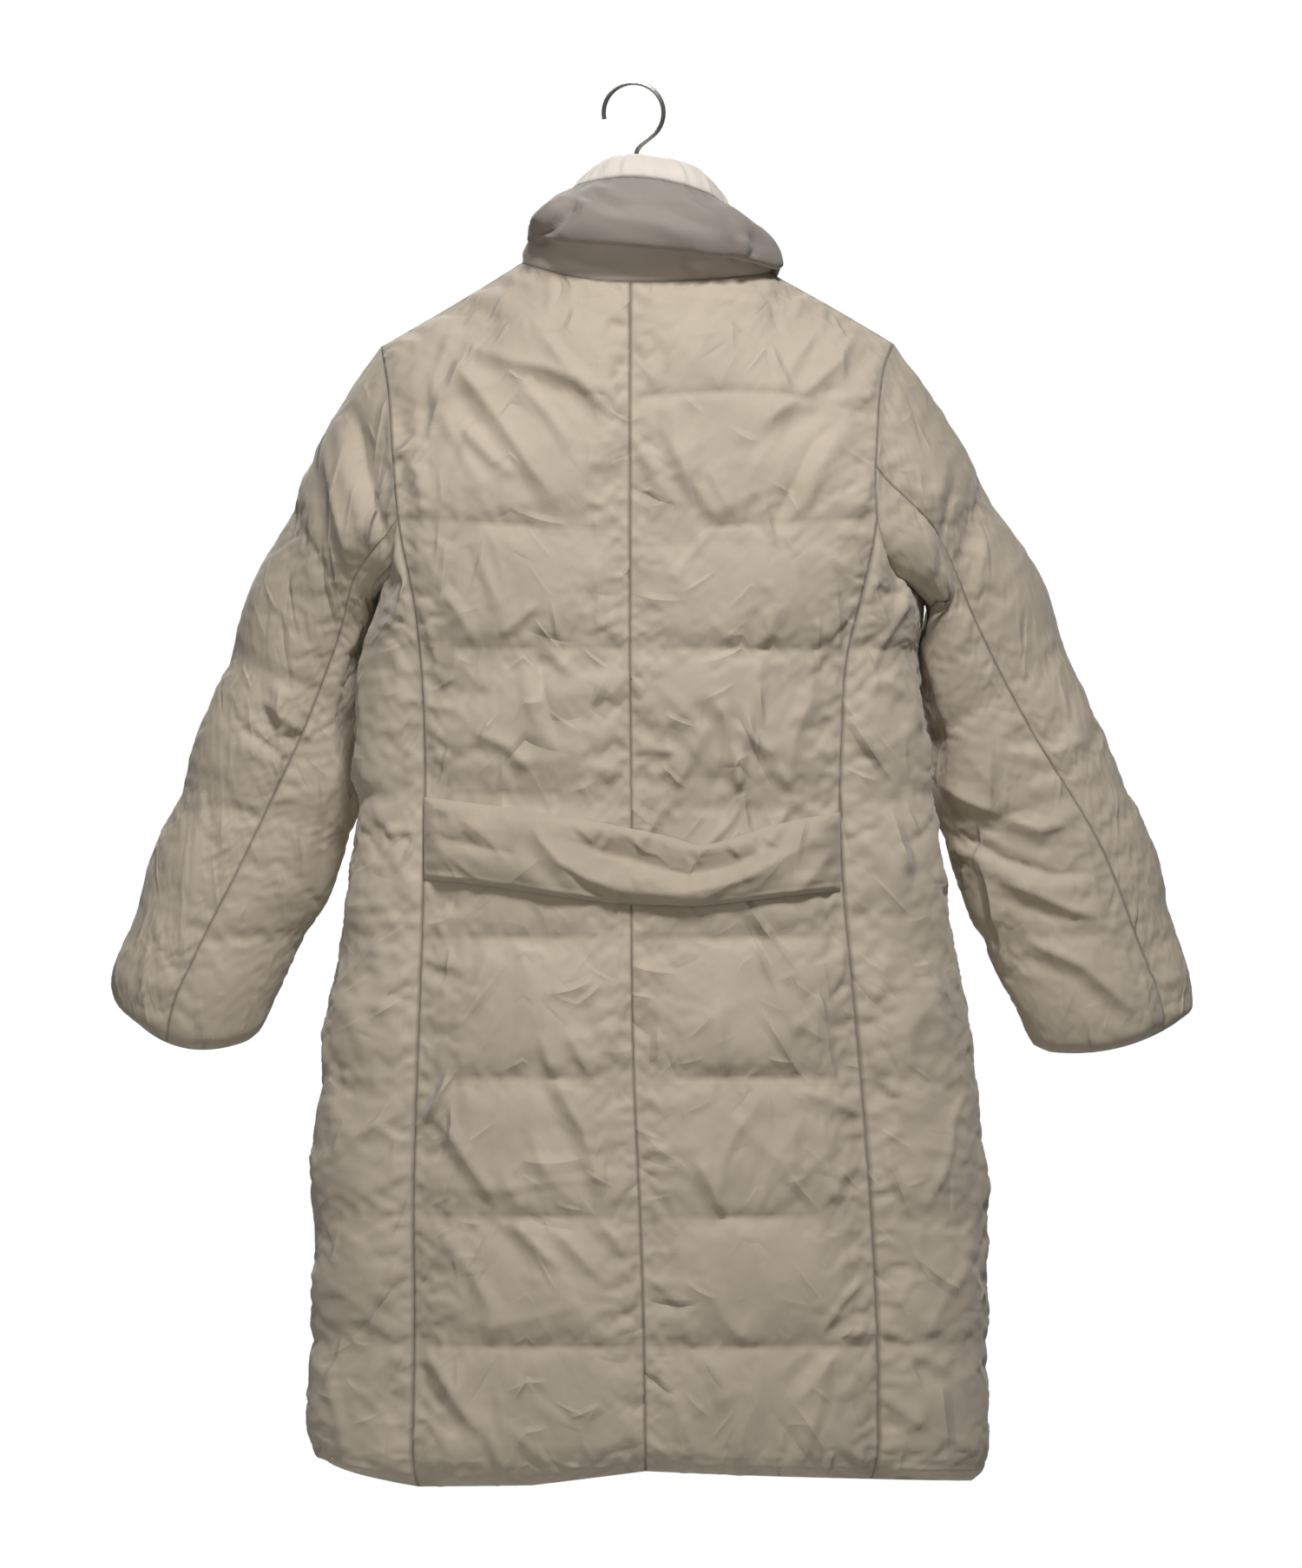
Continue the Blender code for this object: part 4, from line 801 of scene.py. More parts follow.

# %% [markdown]
# ## Listed folds
#
# A hanging coat has large soft folds where it is pulled: from the shoulders towards the middle,
# above and below the belt, and where the sleeves bend. Each is a line with a height and a
# width. One flank of a fold is steeper than the other, which is what makes it look like cloth.

# %% Tables of the large folds
# height and width in millimetres, then the line's points in millimetres: across and up
BACK_FOLDS = [
    (3.4, 9, (166, -211), (138, -256), (112, -290), (87, -328), (59, -364)),
    (3.0, 8, (163, -214), (103, -239), (74, -244), (46, -256), (27, -277), (8, -296)),
    (2.2, 7, (148, -289), (121, -319), (97, -338)),
    (1.8, 7, (37, -255), (3, -282)),
    (0.8, 6, (187, -236), (184, -300), (180, -370), (183, -440)),
    (-0.7, 7, (178, -250), (175, -320), (172, -400)),
    (3.6, 9, (-102, -298), (-149, -262), (-174, -238), (-192, -204)),
    (2.6, 8, (-21, -289), (-49, -341), (-74, -375), (-106, -390)),
    (-2.6, 8, (-112, -389), (-129, -357), (-153, -306), (-181, -283)),
    (2.0, 7, (-62, -324), (-72, -349), (-95, -383)),
    (1.8, 9, (-11, -180), (-89, -187), (-170, -197)),
    (2.0, 6, (115, -472), (97, -458), (79, -442)),
    (-2.8, 7, (86, -459), (74, -527), (61, -568)),
    (2.2, 6, (71, -476), (62, -492), (52, -506)),
    (2.4, 7, (139, -549), (105, -564), (86, -586)),
    (2.2, 6, (-111, -445), (-113, -460), (-115, -477)),
    (3.0, 8, (-61, -515), (-77, -539), (-84, -569), (-89, -602), (-93, -614)),
    (2.2, 7, (-82, -544), (-104, -560), (-125, -573)),
    (2.4, 7, (-208, -503), (-229, -519), (-243, -548)),
    (2.6, 7, (187, -746), (205, -770), (223, -792)),
    (3.0, 8, (162, -879), (124, -933), (114, -950)),
    (3.2, 8, (81, -800), (61, -854), (41, -889), (25, -944)),
    (2.2, 7, (57, -800), (44, -825), (31, -849)),
    (2.8, 8, (110, -954), (85, -980), (61, -1004)),
    (2.2, 7, (76, -958), (48, -988), (21, -1015)),
    (2.0, 7, (35, -953), (18, -975), (3, -994)),
    (-2.4, 7, (-127, -758), (-140, -780), (-152, -802)),
    (2.4, 8, (-137, -852), (-165, -862), (-196, -876)),
    (3.0, 8, (-51, -906), (-68, -938), (-84, -970)),
    (3.2, 8, (182, -1060), (155, -1103), (127, -1145)),
    (3.2, 8, (-202, -1043), (-163, -1081), (-137, -1116)),
    (2.6, 7, (-206, -1050), (-242, -1075), (-273, -1095)),
    (2.2, 7, (-206, -1106), (-227, -1125), (-250, -1141)),
]
SLEEVE_FOLDS = [
    (3.0, 8, (-258, -594), (-287, -610), (-312, -621), (-345, -635), (-376, -627)),
    (-2.6, 7, (-258, -616), (-283, -641), (-316, -660), (-355, -672), (-403, -670)),
    (2.8, 8, (-307, -675), (-364, -698), (-422, -722)),
    (2.6, 8, (-330, -726), (-384, -751), (-437, -799)),
    (2.6, 7, (302, -504), (300, -548), (302, -589)),
    (-4.0, 8, (240, -270), (230, -325), (220, -359), (205, -401)),
    (3.0, 9, (262, -300), (252, -360), (238, -420)),
    (-2.6, 6, (300, -500), (275, -518), (262, -540)),
    (2.6, 7, (318, -520), (290, -545), (268, -560)),
    (-2.6, 7, (335, -548), (305, -566), (285, -590)),
    (2.4, 7, (350, -600), (318, -612), (290, -606)),
    (2.2, 7, (385, -700), (355, -715), (325, -712)),
    (-2.2, 7, (-275, -330), (-265, -375), (-262, -430)),
    (2.4, 8, (-300, -380), (-290, -440), (-275, -490)),
    (2.2, 7, (-380, -560), (-345, -572), (-315, -566)),
]
print("folds drawn by hand:", len(BACK_FOLDS) + len(SLEEVE_FOLDS))

# %% [markdown]
# ## The shape of one fold
#
# Each place on the cloth looks for the nearest point of the fold's line. The cloth rises to a
# crest over the line, with a shallow trough along its steeper side, and the fold fades out
# towards both ends.

# %% The shape of one fold
def fold(place, height, width, line):
    """A fold's height at places (across, up), all in metres."""
    line = np.array(line, float) / 1000
    height, width = height / 1000, width / 1000
    steps = np.diff(line, axis=0)
    lengths = np.linalg.norm(steps, axis=1)
    along = np.append(0, np.cumsum(lengths)) / lengths.sum()
    nearest = np.full(len(place), 9.0)
    signed, share = np.zeros(len(place)), np.zeros(len(place))
    for a, step, length, s0, s1 in zip(line, steps, lengths, along, along[1:]):
        t = np.clip((place - a) @ step / length**2, 0, 1)
        gap = place - a - t[:, None] * step
        away = np.linalg.norm(gap, axis=1)
        closer = away < nearest
        nearest = np.where(closer, away, nearest)
        turn = gap[:, 0] * step[1] - gap[:, 1] * step[0]
        signed = np.where(closer, away * np.sign(turn), signed)
        share = np.where(closer, s0 + (s1 - s0) * t, share)
    steep = np.where(signed > 0, 1.0, 1.7)
    crest = np.exp(-(np.abs(signed * steep / width) ** 1.25))
    trough = np.exp(-(((signed + 1.7 * width) / width) ** 2))
    ends = np.clip(np.minimum(share, 1 - share) * 5, 0.05, 1)
    return height * (crest - 0.5 * trough) * ends


def folds(place, rows, scale=1.0):
    total = np.zeros(len(place))
    for height, width, *line in rows:
        low, high = np.min(line, axis=0) / 1000 - 0.04, np.max(line, axis=0) / 1000 + 0.04
        near = ((place > low) & (place < high)).all(axis=1)
        total[near] += fold(place[near], height * scale, width, line)
    return total


def mirrored(rows, down):
    return [(h, w, *((-x, z - down) for x, z in line)) for h, w, *line in rows]


print("the largest fold is", max(abs(row[0]) for row in BACK_FOLDS + SLEEVE_FOLDS), "mm high")

# %% [markdown]
# ## Small folds
#
# Cloth puckers where it is sewn, and faint folds lie all over a coat that hangs. Seeded random
# numbers place them, so that each run of the script gives the same coat.

# %% Small folds
def pucker_rows(net, dice):
    """Short folds that run from a net's seams into the cloth."""
    rows = []
    inner = {"first": (slice(None), 4), "last": (slice(None), -5), "top": 4, "end": -5}
    for edge in net.held:
        line, inside = net.points[EDGES[edge]] * 1000, net.points[inner[edge]] * 1000
        along = lengths_along(line)
        at = dice.uniform(6, 18)
        while at < along[-1] - 6:
            i = int(np.searchsorted(along, at))
            inward = (inside[i] - line[i])[[0, 2]]
            turn = dice.normal(0, 0.55)
            inward = inward / max(np.linalg.norm(inward), 1e-6)
            turned = np.array([inward[0] * math.cos(turn) - inward[1] * math.sin(turn),
                               inward[0] * math.sin(turn) + inward[1] * math.cos(turn)])
            start = line[i][[0, 2]] + turned * 2
            end = start + turned * dice.uniform(14, 42)
            bend = (start + end) / 2 + dice.normal(0, 1.5, 2)
            height = dice.uniform(0.6, 2.0) * dice.choice((1, 1, -1))
            rows.append((height, dice.uniform(3.5, 6.0), tuple(start), tuple(bend), tuple(end)))
            at += dice.uniform(16, 46)
    return rows


def scattered(count, box, flow, dice):
    """Faint folds strewn over a part of the coat, all running more or less one way."""
    rows = []
    for _ in range(count):
        start = np.array([dice.uniform(*box[0]), dice.uniform(*box[1])])
        turn = math.radians(flow + dice.normal(0, 22))
        run = np.array([math.cos(turn), math.sin(turn)]) * dice.uniform(22, 85)
        bend = start + run / 2 + dice.normal(0, 3, 2)
        height = dice.uniform(0.7, 1.9) * dice.choice((1, 1, -1))
        rows.append((height, dice.uniform(4.5, 8), tuple(start), tuple(bend), tuple(start + run)))
    return rows


# %% [markdown]
# ## Ripples and creases
#
# Waves of many lengths and directions added together look like cloth that has been worn. Where
# only the tops of such waves are kept, they turn into creases.

# %% Ripples and creases
def ripples(points, count, shortest, longest, seed):
    """Waves of many directions and lengths added up: between about -1 and 1, and seeded."""
    dice = np.random.default_rng(seed)
    total = np.zeros(len(points))
    for _ in range(count):
        turn = dice.normal(size=3)
        wave = 2 * math.pi / dice.uniform(shortest, longest)
        total += np.sin(points @ (turn / np.linalg.norm(turn)) * wave + dice.uniform(0, 6.3))
    return total / math.sqrt(count)


def creased(points, flow, seed):
    """Long sharp-crested creases in patches, which run at an angle of `flow` degrees."""
    turn = math.radians(flow)
    along = points[:, 0] * math.cos(turn) + points[:, 2] * math.sin(turn)
    across = points[:, 2] * math.cos(turn) - points[:, 0] * math.sin(turn)
    bent = across + 0.006 * ripples(points, 8, 0.06, 0.14, seed + 1)
    waves = ripples(np.stack([bent, along / 3.5, points[:, 1] / 2], axis=1), 9, 0.045, 0.10, seed)
    patch = np.clip(ripples(points, 8, 0.10, 0.22, seed + 2) + 0.35, 0, 1)
    return np.clip(1 - 2.2 * np.abs(waves), -0.6, 1) * patch


def stitch_distance(net, grid):
    """Each point's distance down its column to the nearest quilting line."""
    stitched = np.flatnonzero(net.quilted.any(axis=1)) * 2
    if net.name == "back_centre_right":
        stitched = np.append(stitched, YOKE)
    deep = lengths_over(grid, 0)
    return np.min([np.abs(deep - deep[row]) for row in stitched], axis=0)


# %% [markdown]
# ## Strew the small folds
#
# They run from the shoulders towards the middle at the top, and more steeply further down, as
# the weight of the coat pulls them.

# %% Strew the small folds
dice = np.random.default_rng(21)
strewn = {name: [] for name in ("back", "front", "sleeve back", "sleeve front")}
# how many, then from and to across and up in millimetres, and their direction in degrees
STREWN = {
    "": [
        (9, (20, 190), (-400, -215), -125),
        (9, (-190, -20), (-400, -215), -55),
        (26, (-230, 230), (-620, -400), -112),
        (44, (-280, 280), (-1130, -690), -115),
    ],
    "sleeve ": [
        (6, (230, 330), (-520, -260), -75),
        (6, (-330, -240), (-520, -260), -105),
        (16, (300, 430), (-800, -520), -20),
        (16, (-440, -290), (-800, -520), 200),
    ],
}
for face in ("back", "front"):
    for part, rows in STREWN.items():
        for count, across, up, flow in rows:
            strewn[part + face] += scattered(count, (across, up), flow, dice)
for net in nets:
    if "sleeve" in net.name:
        for height, *row in pucker_rows(net, dice):
            face = "back" if dice.random() < 0.5 else "front"
            strewn[f"sleeve {face}"].append((0.6 * height, *row))
    else:
        strewn["back" if "back" in net.name else "front"] += pucker_rows(net, dice)
by_hand = {"back": BACK_FOLDS, "front": mirrored(BACK_FOLDS, 12)}
by_hand["sleeve back"], by_hand["sleeve front"] = SLEEVE_FOLDS, mirrored(SLEEVE_FOLDS, 8)
print("small folds:", {name: len(rows) for name, rows in strewn.items()})

# %% [markdown]
# ## Fold the cloth
#
# All heights are added up and move each point along its normal. Close to a seam the cloth is
# held, so the folds fade there, and each quilting line gets a narrow groove with fine gathers.

# %% Fold the cloth
sleeve_at = once([np.full(g.shape[:2], "sleeve" in n.name) for g, n in zip(grids, nets)])
free = once([edge_distance(g, n.held) for g, n in zip(plain_grids, nets)])
stitches = once([stitch_distance(n, g) for g, n in zip(plain_grids, nets)])
place = points[:, (0, 2)]
behind = np.where(sleeve_at, points[:, 1] > -0.045, points[:, 1] > 0)
extra = np.zeros(len(points))
DRAWN_AND_STREWN = {"body": (1.5, 0.7), "sleeve": (1.8, 0.45)}  # how strongly each kind shows
for name in strewn:
    here = (sleeve_at == ("sleeve" in name)) & (behind == ("back" in name))
    drawn, random = DRAWN_AND_STREWN["sleeve" if "sleeve" in name else "body"]
    extra[here] = folds(place[here], by_hand[name], drawn)
    extra[here] += folds(place[here], strewn[name], random)
SWELL, GATHER, GROOVE = 0.0014, 0.0006, 0.0016  # heights in metres
HELD_REACH, STITCH_REACH, GROOVE_WIDTH = 0.008, 0.014, 0.0035  # metres
CREASES = ((-115, 0.0023, 5), (-62, 0.0019, 15), (172, 0.0010, 25))  # direction, height, seed
extra += SWELL * ripples(points, 12, 0.08, 0.17, 3)
for flow, height, seed in CREASES:
    extra += height * creased(points, flow, seed) * np.where(sleeve_at, 0.5, 1)
TIGHT_CORNERS, CORNER_SIZE = ((0.245, -0.445), (-0.265, -0.445)), 0.03
for x, z in TIGHT_CORNERS:  # under each arm there is no room for folds
    away = np.hypot(points[:, 0] - x, points[:, 2] - z)
    extra *= 1 - 0.9 * np.exp(-((away / CORNER_SIZE) ** 2))
loose = np.clip(free / HELD_REACH, 0, 1)
extra *= loose**0.7 * np.clip(0.15 + stitches / STITCH_REACH, 0, 1)
gathers = ripples(points * (1, 1, 0.12), 14, 0.007, 0.016, 41) * np.exp(-stitches / 0.008)
GROOVES = {"back_centre": 1.0, "back_side": 0.4}  # how deep on each piece, and 0.6 elsewhere
strength = [GROOVES.get(n.name.rsplit("_", 1)[0], 0.6) for n in nets]
strength = once([np.full(g.shape[:2], v) for g, v in zip(grids, strength)])
groove = GROOVE * strength * np.exp(-stitches / GROOVE_WIDTH) * (stitches < free)
extra += (GATHER * gathers - groove) * loose * np.where(sleeve_at, 0.4, 1)
points += normals * extra[:, None]
print("folds in mm:", (np.percentile(extra, (0, 50, 100)) * 1000).round(2))

# %% [markdown]
# ## Close the gap under the arms
#
# The sleeves hang against the body there, so each is pushed a few millimetres towards the other.

# %% Close the gap under the arms
# across, up, how far the body moves and how far the sleeve moves, all in metres
UNDER_ARMS = ((0.236, -0.480, 0.003, 0.003), (-0.2535, -0.468, 0.003, 0.0085))
for x, z, body_push, sleeve_push in UNDER_ARMS:
    near = np.exp(-(((points[:, 0] - x) / 0.025) ** 2) - ((points[:, 2] - z) / 0.05) ** 2)
    points[:, 0] += math.copysign(1.0, x) * near * np.where(sleeve_at, -sleeve_push, body_push)
grids = split(points[index], grids)

# %% [markdown]
# ## From nets to pieces
#
# A sewn piece has an outside, an inside and an edge all round. The outside is the fine net. The
# inside is plain and coarse, since it hardly shows. The edge joins the two, and lies in a seam.

# %% Build the cloth pieces
COARSE = 2 * FINE
# the width of the painted shade along a seam, in metres
SEAM_SHADE_WIDTH = 0.0013
plain_all = once(plain_grids, 3)
plain_normals = normals_of(plain_all, flat_faces)
inner_grids = split((plain_all - LINING * plain_normals)[index], grids)
built = []  # names of the pieces made, which also gives each its own place on the cloth


class Piece:
    """Vertices, faces, each vertex's place on the cloth, and its painted shade, which grows with
    nearness to a seam.
    """

    def __init__(self):
        self.points, self.faces, self.cloth, self.seam = [], [], [], []
        self.count = 0

    def add(self, grid, cloth, seam, faces):
        shape = grid.shape[:2]
        self.points.append(grid.reshape(-1, 3))
        self.cloth.append(cloth.reshape(-1, 2))
        self.seam.append(np.broadcast_to(seam, shape).reshape(-1))
        self.faces += (faces + self.count).tolist()
        self.count += shape[0] * shape[1]
        return np.arange(self.count - shape[0] * shape[1], self.count).reshape(shape)

    def build(self, name, slot, material):
        points = np.concatenate(self.points)
        first, index = weld(points, 2e4)
        faces = []
        for face in self.faces:
            ring = [int(index[v]) for v in face]
            ring = [v for i, v in enumerate(ring) if v != ring[i - 1]]
            if len(set(ring)) > 2:
                faces.append(ring)
        obj = new_object(f"{name}_cloth", points[first], faces)
        mesh = obj.data
        mesh.polygons.foreach_set("use_smooth", [True] * len(mesh.polygons))
        cloth = mesh.attributes.new("cloth", "FLOAT_VECTOR", "POINT")
        flat = np.concatenate(self.cloth)[first] + [0.37 * len(built), 0.61 * len(built)]
        built.append(name)
        flat = np.c_[flat, np.zeros(len(flat))].astype(np.float32)
        cloth.data.foreach_set("vector", flat.ravel())
        # the attribute named seam holds the painted shade
        seam = mesh.attributes.new("seam", "FLOAT", "POINT")
        seam.data.foreach_set("value", np.concatenate(self.seam)[first].astype(np.float32))
        mesh.materials.append(material)
        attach(obj, "root")
        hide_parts(name)
        print(name, "triangles:", sum(len(face) - 2 for face in faces))


def on_cloth(grid):
    """Each point's distance across and down the piece of cloth."""
    across, down = lengths_over(grid, 1), lengths_over(grid, 0)
    return np.stack([across - across[:, -1:] / 2, down], axis=2)


# painted shade: the colour is darkest on a seam, where little light gets down
def seam_shade(net, grid):
    near = edge_distance(grid, [edge for edge in net.held if edge != "end"])
    return np.exp(-((near / SEAM_SHADE_WIDTH) ** 2))


def rim(outer, inner, outward):
    """Faces between one edge of the outside and the same edge of the inside."""
    faces = []
    for i in range(len(inner) - 1):
        ring = [*outer[i * COARSE : (i + 1) * COARSE + 1], inner[i + 1], inner[i]]
        faces.append(ring if outward else ring[::-1])
    return faces


# %% [markdown]
# ## Cloth
#
# The coat is a dense plain weave with a soft sheen. Close up it has threads, from further off
# small wrinkles, and from far away only a slight change of tone. Each of these is one texture.
# The threads and wrinkles only tilt the light, as a bump, and so cost no geometry. Along a seam
# the colour is painted darker, as painted shade, because little light gets down between two
# puffed edges.

# %% Cloth material
# size of the cells in metres, width of a fold in a cell, its height in metres, its turn, a shift
STROKES = [
    (0.095, 0.17, 0.0060, -0.95, (0.3, 0.9, 0)),
    (0.062, 0.16, 0.0044, -0.85, (0.8, 0.2, 0)),
    (0.044, 0.17, 0.0026, -1.1, (0.1, 0.5, 0)),
    (0.034, 0.18, 0.0013, 0.3, (0.4, 0.1, 0)),
]
LONG_LINES = 0.0028  # height in metres of the longest, faintest wrinkles
LINT, WEAVE, THREADS = 0.0002, 0.00006, 230.0  # heights in metres, and threads' waves a metre
# how much the painted shade darkens the cloth on a seam
SEAM_PAINTED_SHADE = 0.42


def new_material(name, inputs):
    """A material, and its shader with some of its inputs filled in."""
    material = bpy.data.materials.new(name)
    material.use_nodes = True
    shader = material.node_tree.nodes["Principled BSDF"]
    for key, value in inputs.items():
        shader.inputs[key].default_value = value
    return material, shader


CLOTH = {"Roughness": 0.78, "Sheen Weight": 0.25, "Sheen Roughness": 0.5}
TONE = 0.10  # how much darker the cloth is in patches


def cloth_material(name, colour, creases=1.0):
    material, shader = new_material(name, CLOTH)
    nodes, links = material.node_tree.nodes, material.node_tree.links

    def add(kind, sources=(), **values):
        """A node with its properties set, and its first inputs linked or filled in."""
        node = nodes.new(kind)
        for key, value in values.items():
            setattr(node, key, value)
        for socket, source in zip(node.inputs, sources):
            if isinstance(source, bpy.types.NodeSocket):
                links.new(source, socket)
            elif source is not None:
                socket.default_value = source
        return node.outputs[0]

    def math_of(operation, *sources):
        return add("ShaderNodeMath", sources, operation=operation)

    def spread(value, low, high, to_low=0.0, to_high=1.0):
        return add("ShaderNodeMapRange", (value, low, high, to_low, to_high))

    def noise(scale, detail, vector):
        return add("ShaderNodeTexNoise", (vector, None, scale, detail))

    def wave(direction):
        return add("ShaderNodeTexWave", (flat, THREADS, 0.4), bands_direction=direction)

    def crease(turn, size):
        """Zero along sharp lines, and more between them. A noise is stretched one way."""
        turned = add("ShaderNodeMapping", (flat, None, (0, 0, turn), size), vector_type="TEXTURE")
        return math_of("ABSOLUTE", math_of("SUBTRACT", noise(1.0, 1.0, turned), 0.5))

    def strokes(size, width, turn, shift):
        """One short sharp fold in each cell of a random pattern, at a random angle and height."""
        sources = (flat, shift, None, (size, size, size))
        scaled = add("ShaderNodeMapping", sources, vector_type="TEXTURE")
        cell = add("ShaderNodeTexVoronoi", (scaled, None, 1.0), voronoi_dimensions="2D").node
        cell.inputs["Randomness"].default_value = 0.75
        random = add("ShaderNodeSeparateColor", (cell.outputs["Color"],)).node
        sources = (scaled, cell.outputs["Position"])
        local = add("ShaderNodeVectorMath", sources, operation="SUBTRACT")
        angle = math_of("MULTIPLY_ADD", random.outputs[0], 1.3, turn - 0.65)
        turned = add("ShaderNodeVectorRotate", (local,), rotation_type="Z_AXIS")
        links.new(angle, turned.node.inputs["Angle"])
        parts = add("ShaderNodeSeparateXYZ", (turned,)).node
        along, across = parts.outputs[0], parts.outputs[1]
        bowed = math_of("MULTIPLY_ADD", math_of("MULTIPLY", along, along), 0.12, across)
        side = math_of("MAXIMUM", bowed, math_of("MULTIPLY", bowed, -1.8))
        crest = math_of("MAXIMUM", math_of("MULTIPLY_ADD", side, -1 / width, 1.0), 0.0)
        crest = math_of("POWER", crest, 1.4)
        ends = math_of("MULTIPLY_ADD", math_of("MULTIPLY", along, along), -5.2, 1.0)
        ends = math_of("POWER", math_of("MAXIMUM", ends, 0.0), 1.5)
        rise = math_of("MULTIPLY_ADD", random.outputs[1], 1.6, -0.55)
        return math_of("MULTIPLY", math_of("MULTIPLY", crest, ends), rise)

    flat = add("ShaderNodeAttribute", attribute_name="cloth").node.outputs["Vector"]
    # painted shade, darkest along the seams; where it is below zero it is painted light
    seam = add("ShaderNodeAttribute", attribute_name="seam").node.outputs["Fac"]
    space = nodes.new("ShaderNodeTexCoord").outputs["Object"]
    threads = math_of("MULTIPLY", wave("X"), wave("Y"))
    patches = noise(9.0, 4.0, space)
    long_lines = crease(0.6, (0.034, 0.15, 0.05))
    elsewhere = noise(5.0, 1.0, add("ShaderNodeMapping", (space, (3.1, 0, 0))))
    elsewhere = spread(elsewhere, 0.44, 0.60, 0.0, -LONG_LINES)
    total = math_of("MULTIPLY", long_lines, elsewhere)
    for size, width, height, turn, shift in STROKES:
        busy = noise(11.0, 1.0, add("ShaderNodeMapping", (space, (shift[1], 0, 0))))
        busy = spread(busy, 0.40, 0.60, 0.15 * height, height)
        total = math_of("MULTIPLY_ADD", strokes(size, width, turn, shift), busy, total)
    folds_bump = add("ShaderNodeBump", (1.0, creases, None, total))
    fine = add("ShaderNodeBump", (1.0, LINT, None, noise(120.0, 3.0, space)))
    woven = add("ShaderNodeBump", (1.0, WEAVE, None, threads))
    order = (folds_bump, fine, woven)
    for below, above in zip(order, order[1:]):
        links.new(below, above.node.inputs["Normal"])
    links.new(woven, shader.inputs["Normal"])

    # painted shade darkens the base colour, and painted light (values below zero) brightens it
    shade = math_of("MULTIPLY_ADD", seam, -SEAM_PAINTED_SHADE, 1.0)
    both = math_of("MULTIPLY", spread(patches, 0.3, 0.7, 1 - TONE, 1 + TONE * 0.4), shade)
    tint = add("ShaderNodeVectorMath", (colour,), operation="SCALE")
    links.new(both, tint.node.inputs["Scale"])
    links.new(tint, shader.inputs["Base Color"])
    return material


coat_cloth = cloth_material("coat cloth", (0.55, 0.475, 0.362))
# the inner collar's paler cloth, brightened further with painted light, since its band faces up
# into the light
lit_lining_cloth = cloth_material("lining cloth", (0.80, 0.73, 0.64), creases=0.4)
belt_cloth = cloth_material("belt cloth", (0.49, 0.42, 0.315), creases=0.4)

# %% [markdown]
# ## Make the cloth pieces
#
# Nets with the same name are one piece. An edge that two nets of one piece share stays open, and
# every other edge gets its rim.

# %% Make the cloth pieces
TURNED = {"first": True, "last": False, "top": False, "end": True}
YOKE_CELLS = YOKE // FINE
pieces = {}
for net, grid, plain, inner in zip(nets, grids, plain_grids, inner_grids):
    piece = pieces.setdefault(net.name, Piece())
    cloth, seam = on_cloth(plain), seam_shade(net, grid)
    ring = corners(grid.shape[:2]).reshape(-1, 4)
    outer_ids = piece.add(grid, cloth, seam, ring if net.outward else ring[:, ::-1])
    coarse = inner[::COARSE, ::COARSE]
    ring = corners(coarse.shape[:2]).reshape(-1, 4)
    ring = ring[:, ::-1] if net.outward else ring
    inner_ids = piece.add(coarse, cloth[::COARSE, ::COARSE], np.zeros(coarse.shape[:2]), ring)
    for edge, where in EDGES.items():
        outer_edge, inner_edge = outer_ids[where], inner_ids[where]
        if edge not in net.held:
            if edge == "first" or "front" not in net.name:
                continue
            outer_edge = outer_edge[: YOKE_CELLS * COARSE + 1]
            inner_edge = inner_edge[: YOKE_CELLS + 1]
        piece.faces += rim(outer_edge, inner_edge, net.outward == TURNED[edge])
for name, piece in pieces.items():
    piece.build(name, "coat_cloth", coat_cloth)


# %% [markdown]
# ## Collar
#
# The collar stands up from the neck and its padded top has slumped outwards into a thick roll.
# We draw its section once, from the neck seam up over the roll and down inside, and carry it
# round the neck. A second table says how tall it stands and how much of the roll it has at
# each place. The edge seam runs along the roll's top, where the outer and inner collar meet.

# %% Collar tables
COLLAR_OUT = table(
    "up out roll hang",
    [
        (0.012, 0.002, 0.000, 0.00),
        (0.024, 0.001, 0.000, 0.00),
        (0.0335, 0.000, 0.001, 0.25),
        (0.0350, 0.000, 0.006, 0.55),
        (0.0330, 0.000, 0.014, 0.80),
        (0.0300, 0.000, 0.022, 1.00),
        (0.0315, 0.000, 0.029, 1.00),
        (0.0400, 0.000, 0.033, 0.85),
        (0.0540, 0.000, 0.033, 0.55),
        (0.0690, -0.002, 0.027, 0.25),
        (0.0810, -0.006, 0.018, 0.10),
        (0.0890, -0.010, 0.010, 0.00),
    ],
)
COLLAR_MIDDLE = table(
    "up out",
    [(0.012, -0.006), (0.030, -0.011), (0.046, -0.012), (0.068, -0.013), (0.083, -0.017)],
)
COLLAR_IN = table(
    "up out roll",
    [
        (0.101, -0.013, 0.004),
        (0.110, -0.021, 0.000),
        (0.109, -0.030, -0.002),
        (0.092, -0.037, 0.000),
        (0.066, -0.034, 0.000),
        (0.038, -0.024, 0.000),
        (0.014, -0.011, 0.000),
    ],
)
COLLAR_ALONG = table(
    "column height roll lean droop crest",
    [
        (-8.0, 0.95, 0.10, 0.002, 0.000, 0),
        (-6.0, 0.85, 0.20, 0.016, 0.002, 0),
        (-4.6, 0.60, 0.35, 0.038, 0.009, 0.004),
        (-3.4, 0.61, 0.55, 0.028, 0.012, 0.011),
        (-2.0, 0.83, 1.00, 0.010, 0.008, 0.008),
        (0.0, 1.00, 1.00, 0.000, 0.002, 0),
        (2.0, 0.85, 0.80, 0.016, -0.002, 0),
        (3.2, 0.68, 0.18, 0.036, -0.002, 0),
        (4.4, 0.66, 0.00, 0.046, 0.000, 0),
        (6.0, 0.85, 0.15, 0.016, 0.000, 0),
        (8.0, 0.95, 0.10, 0.002, 0.000, 0),
    ],
)
COLLAR_TALL, COLLAR_OPENING = 0.105, 0.0020
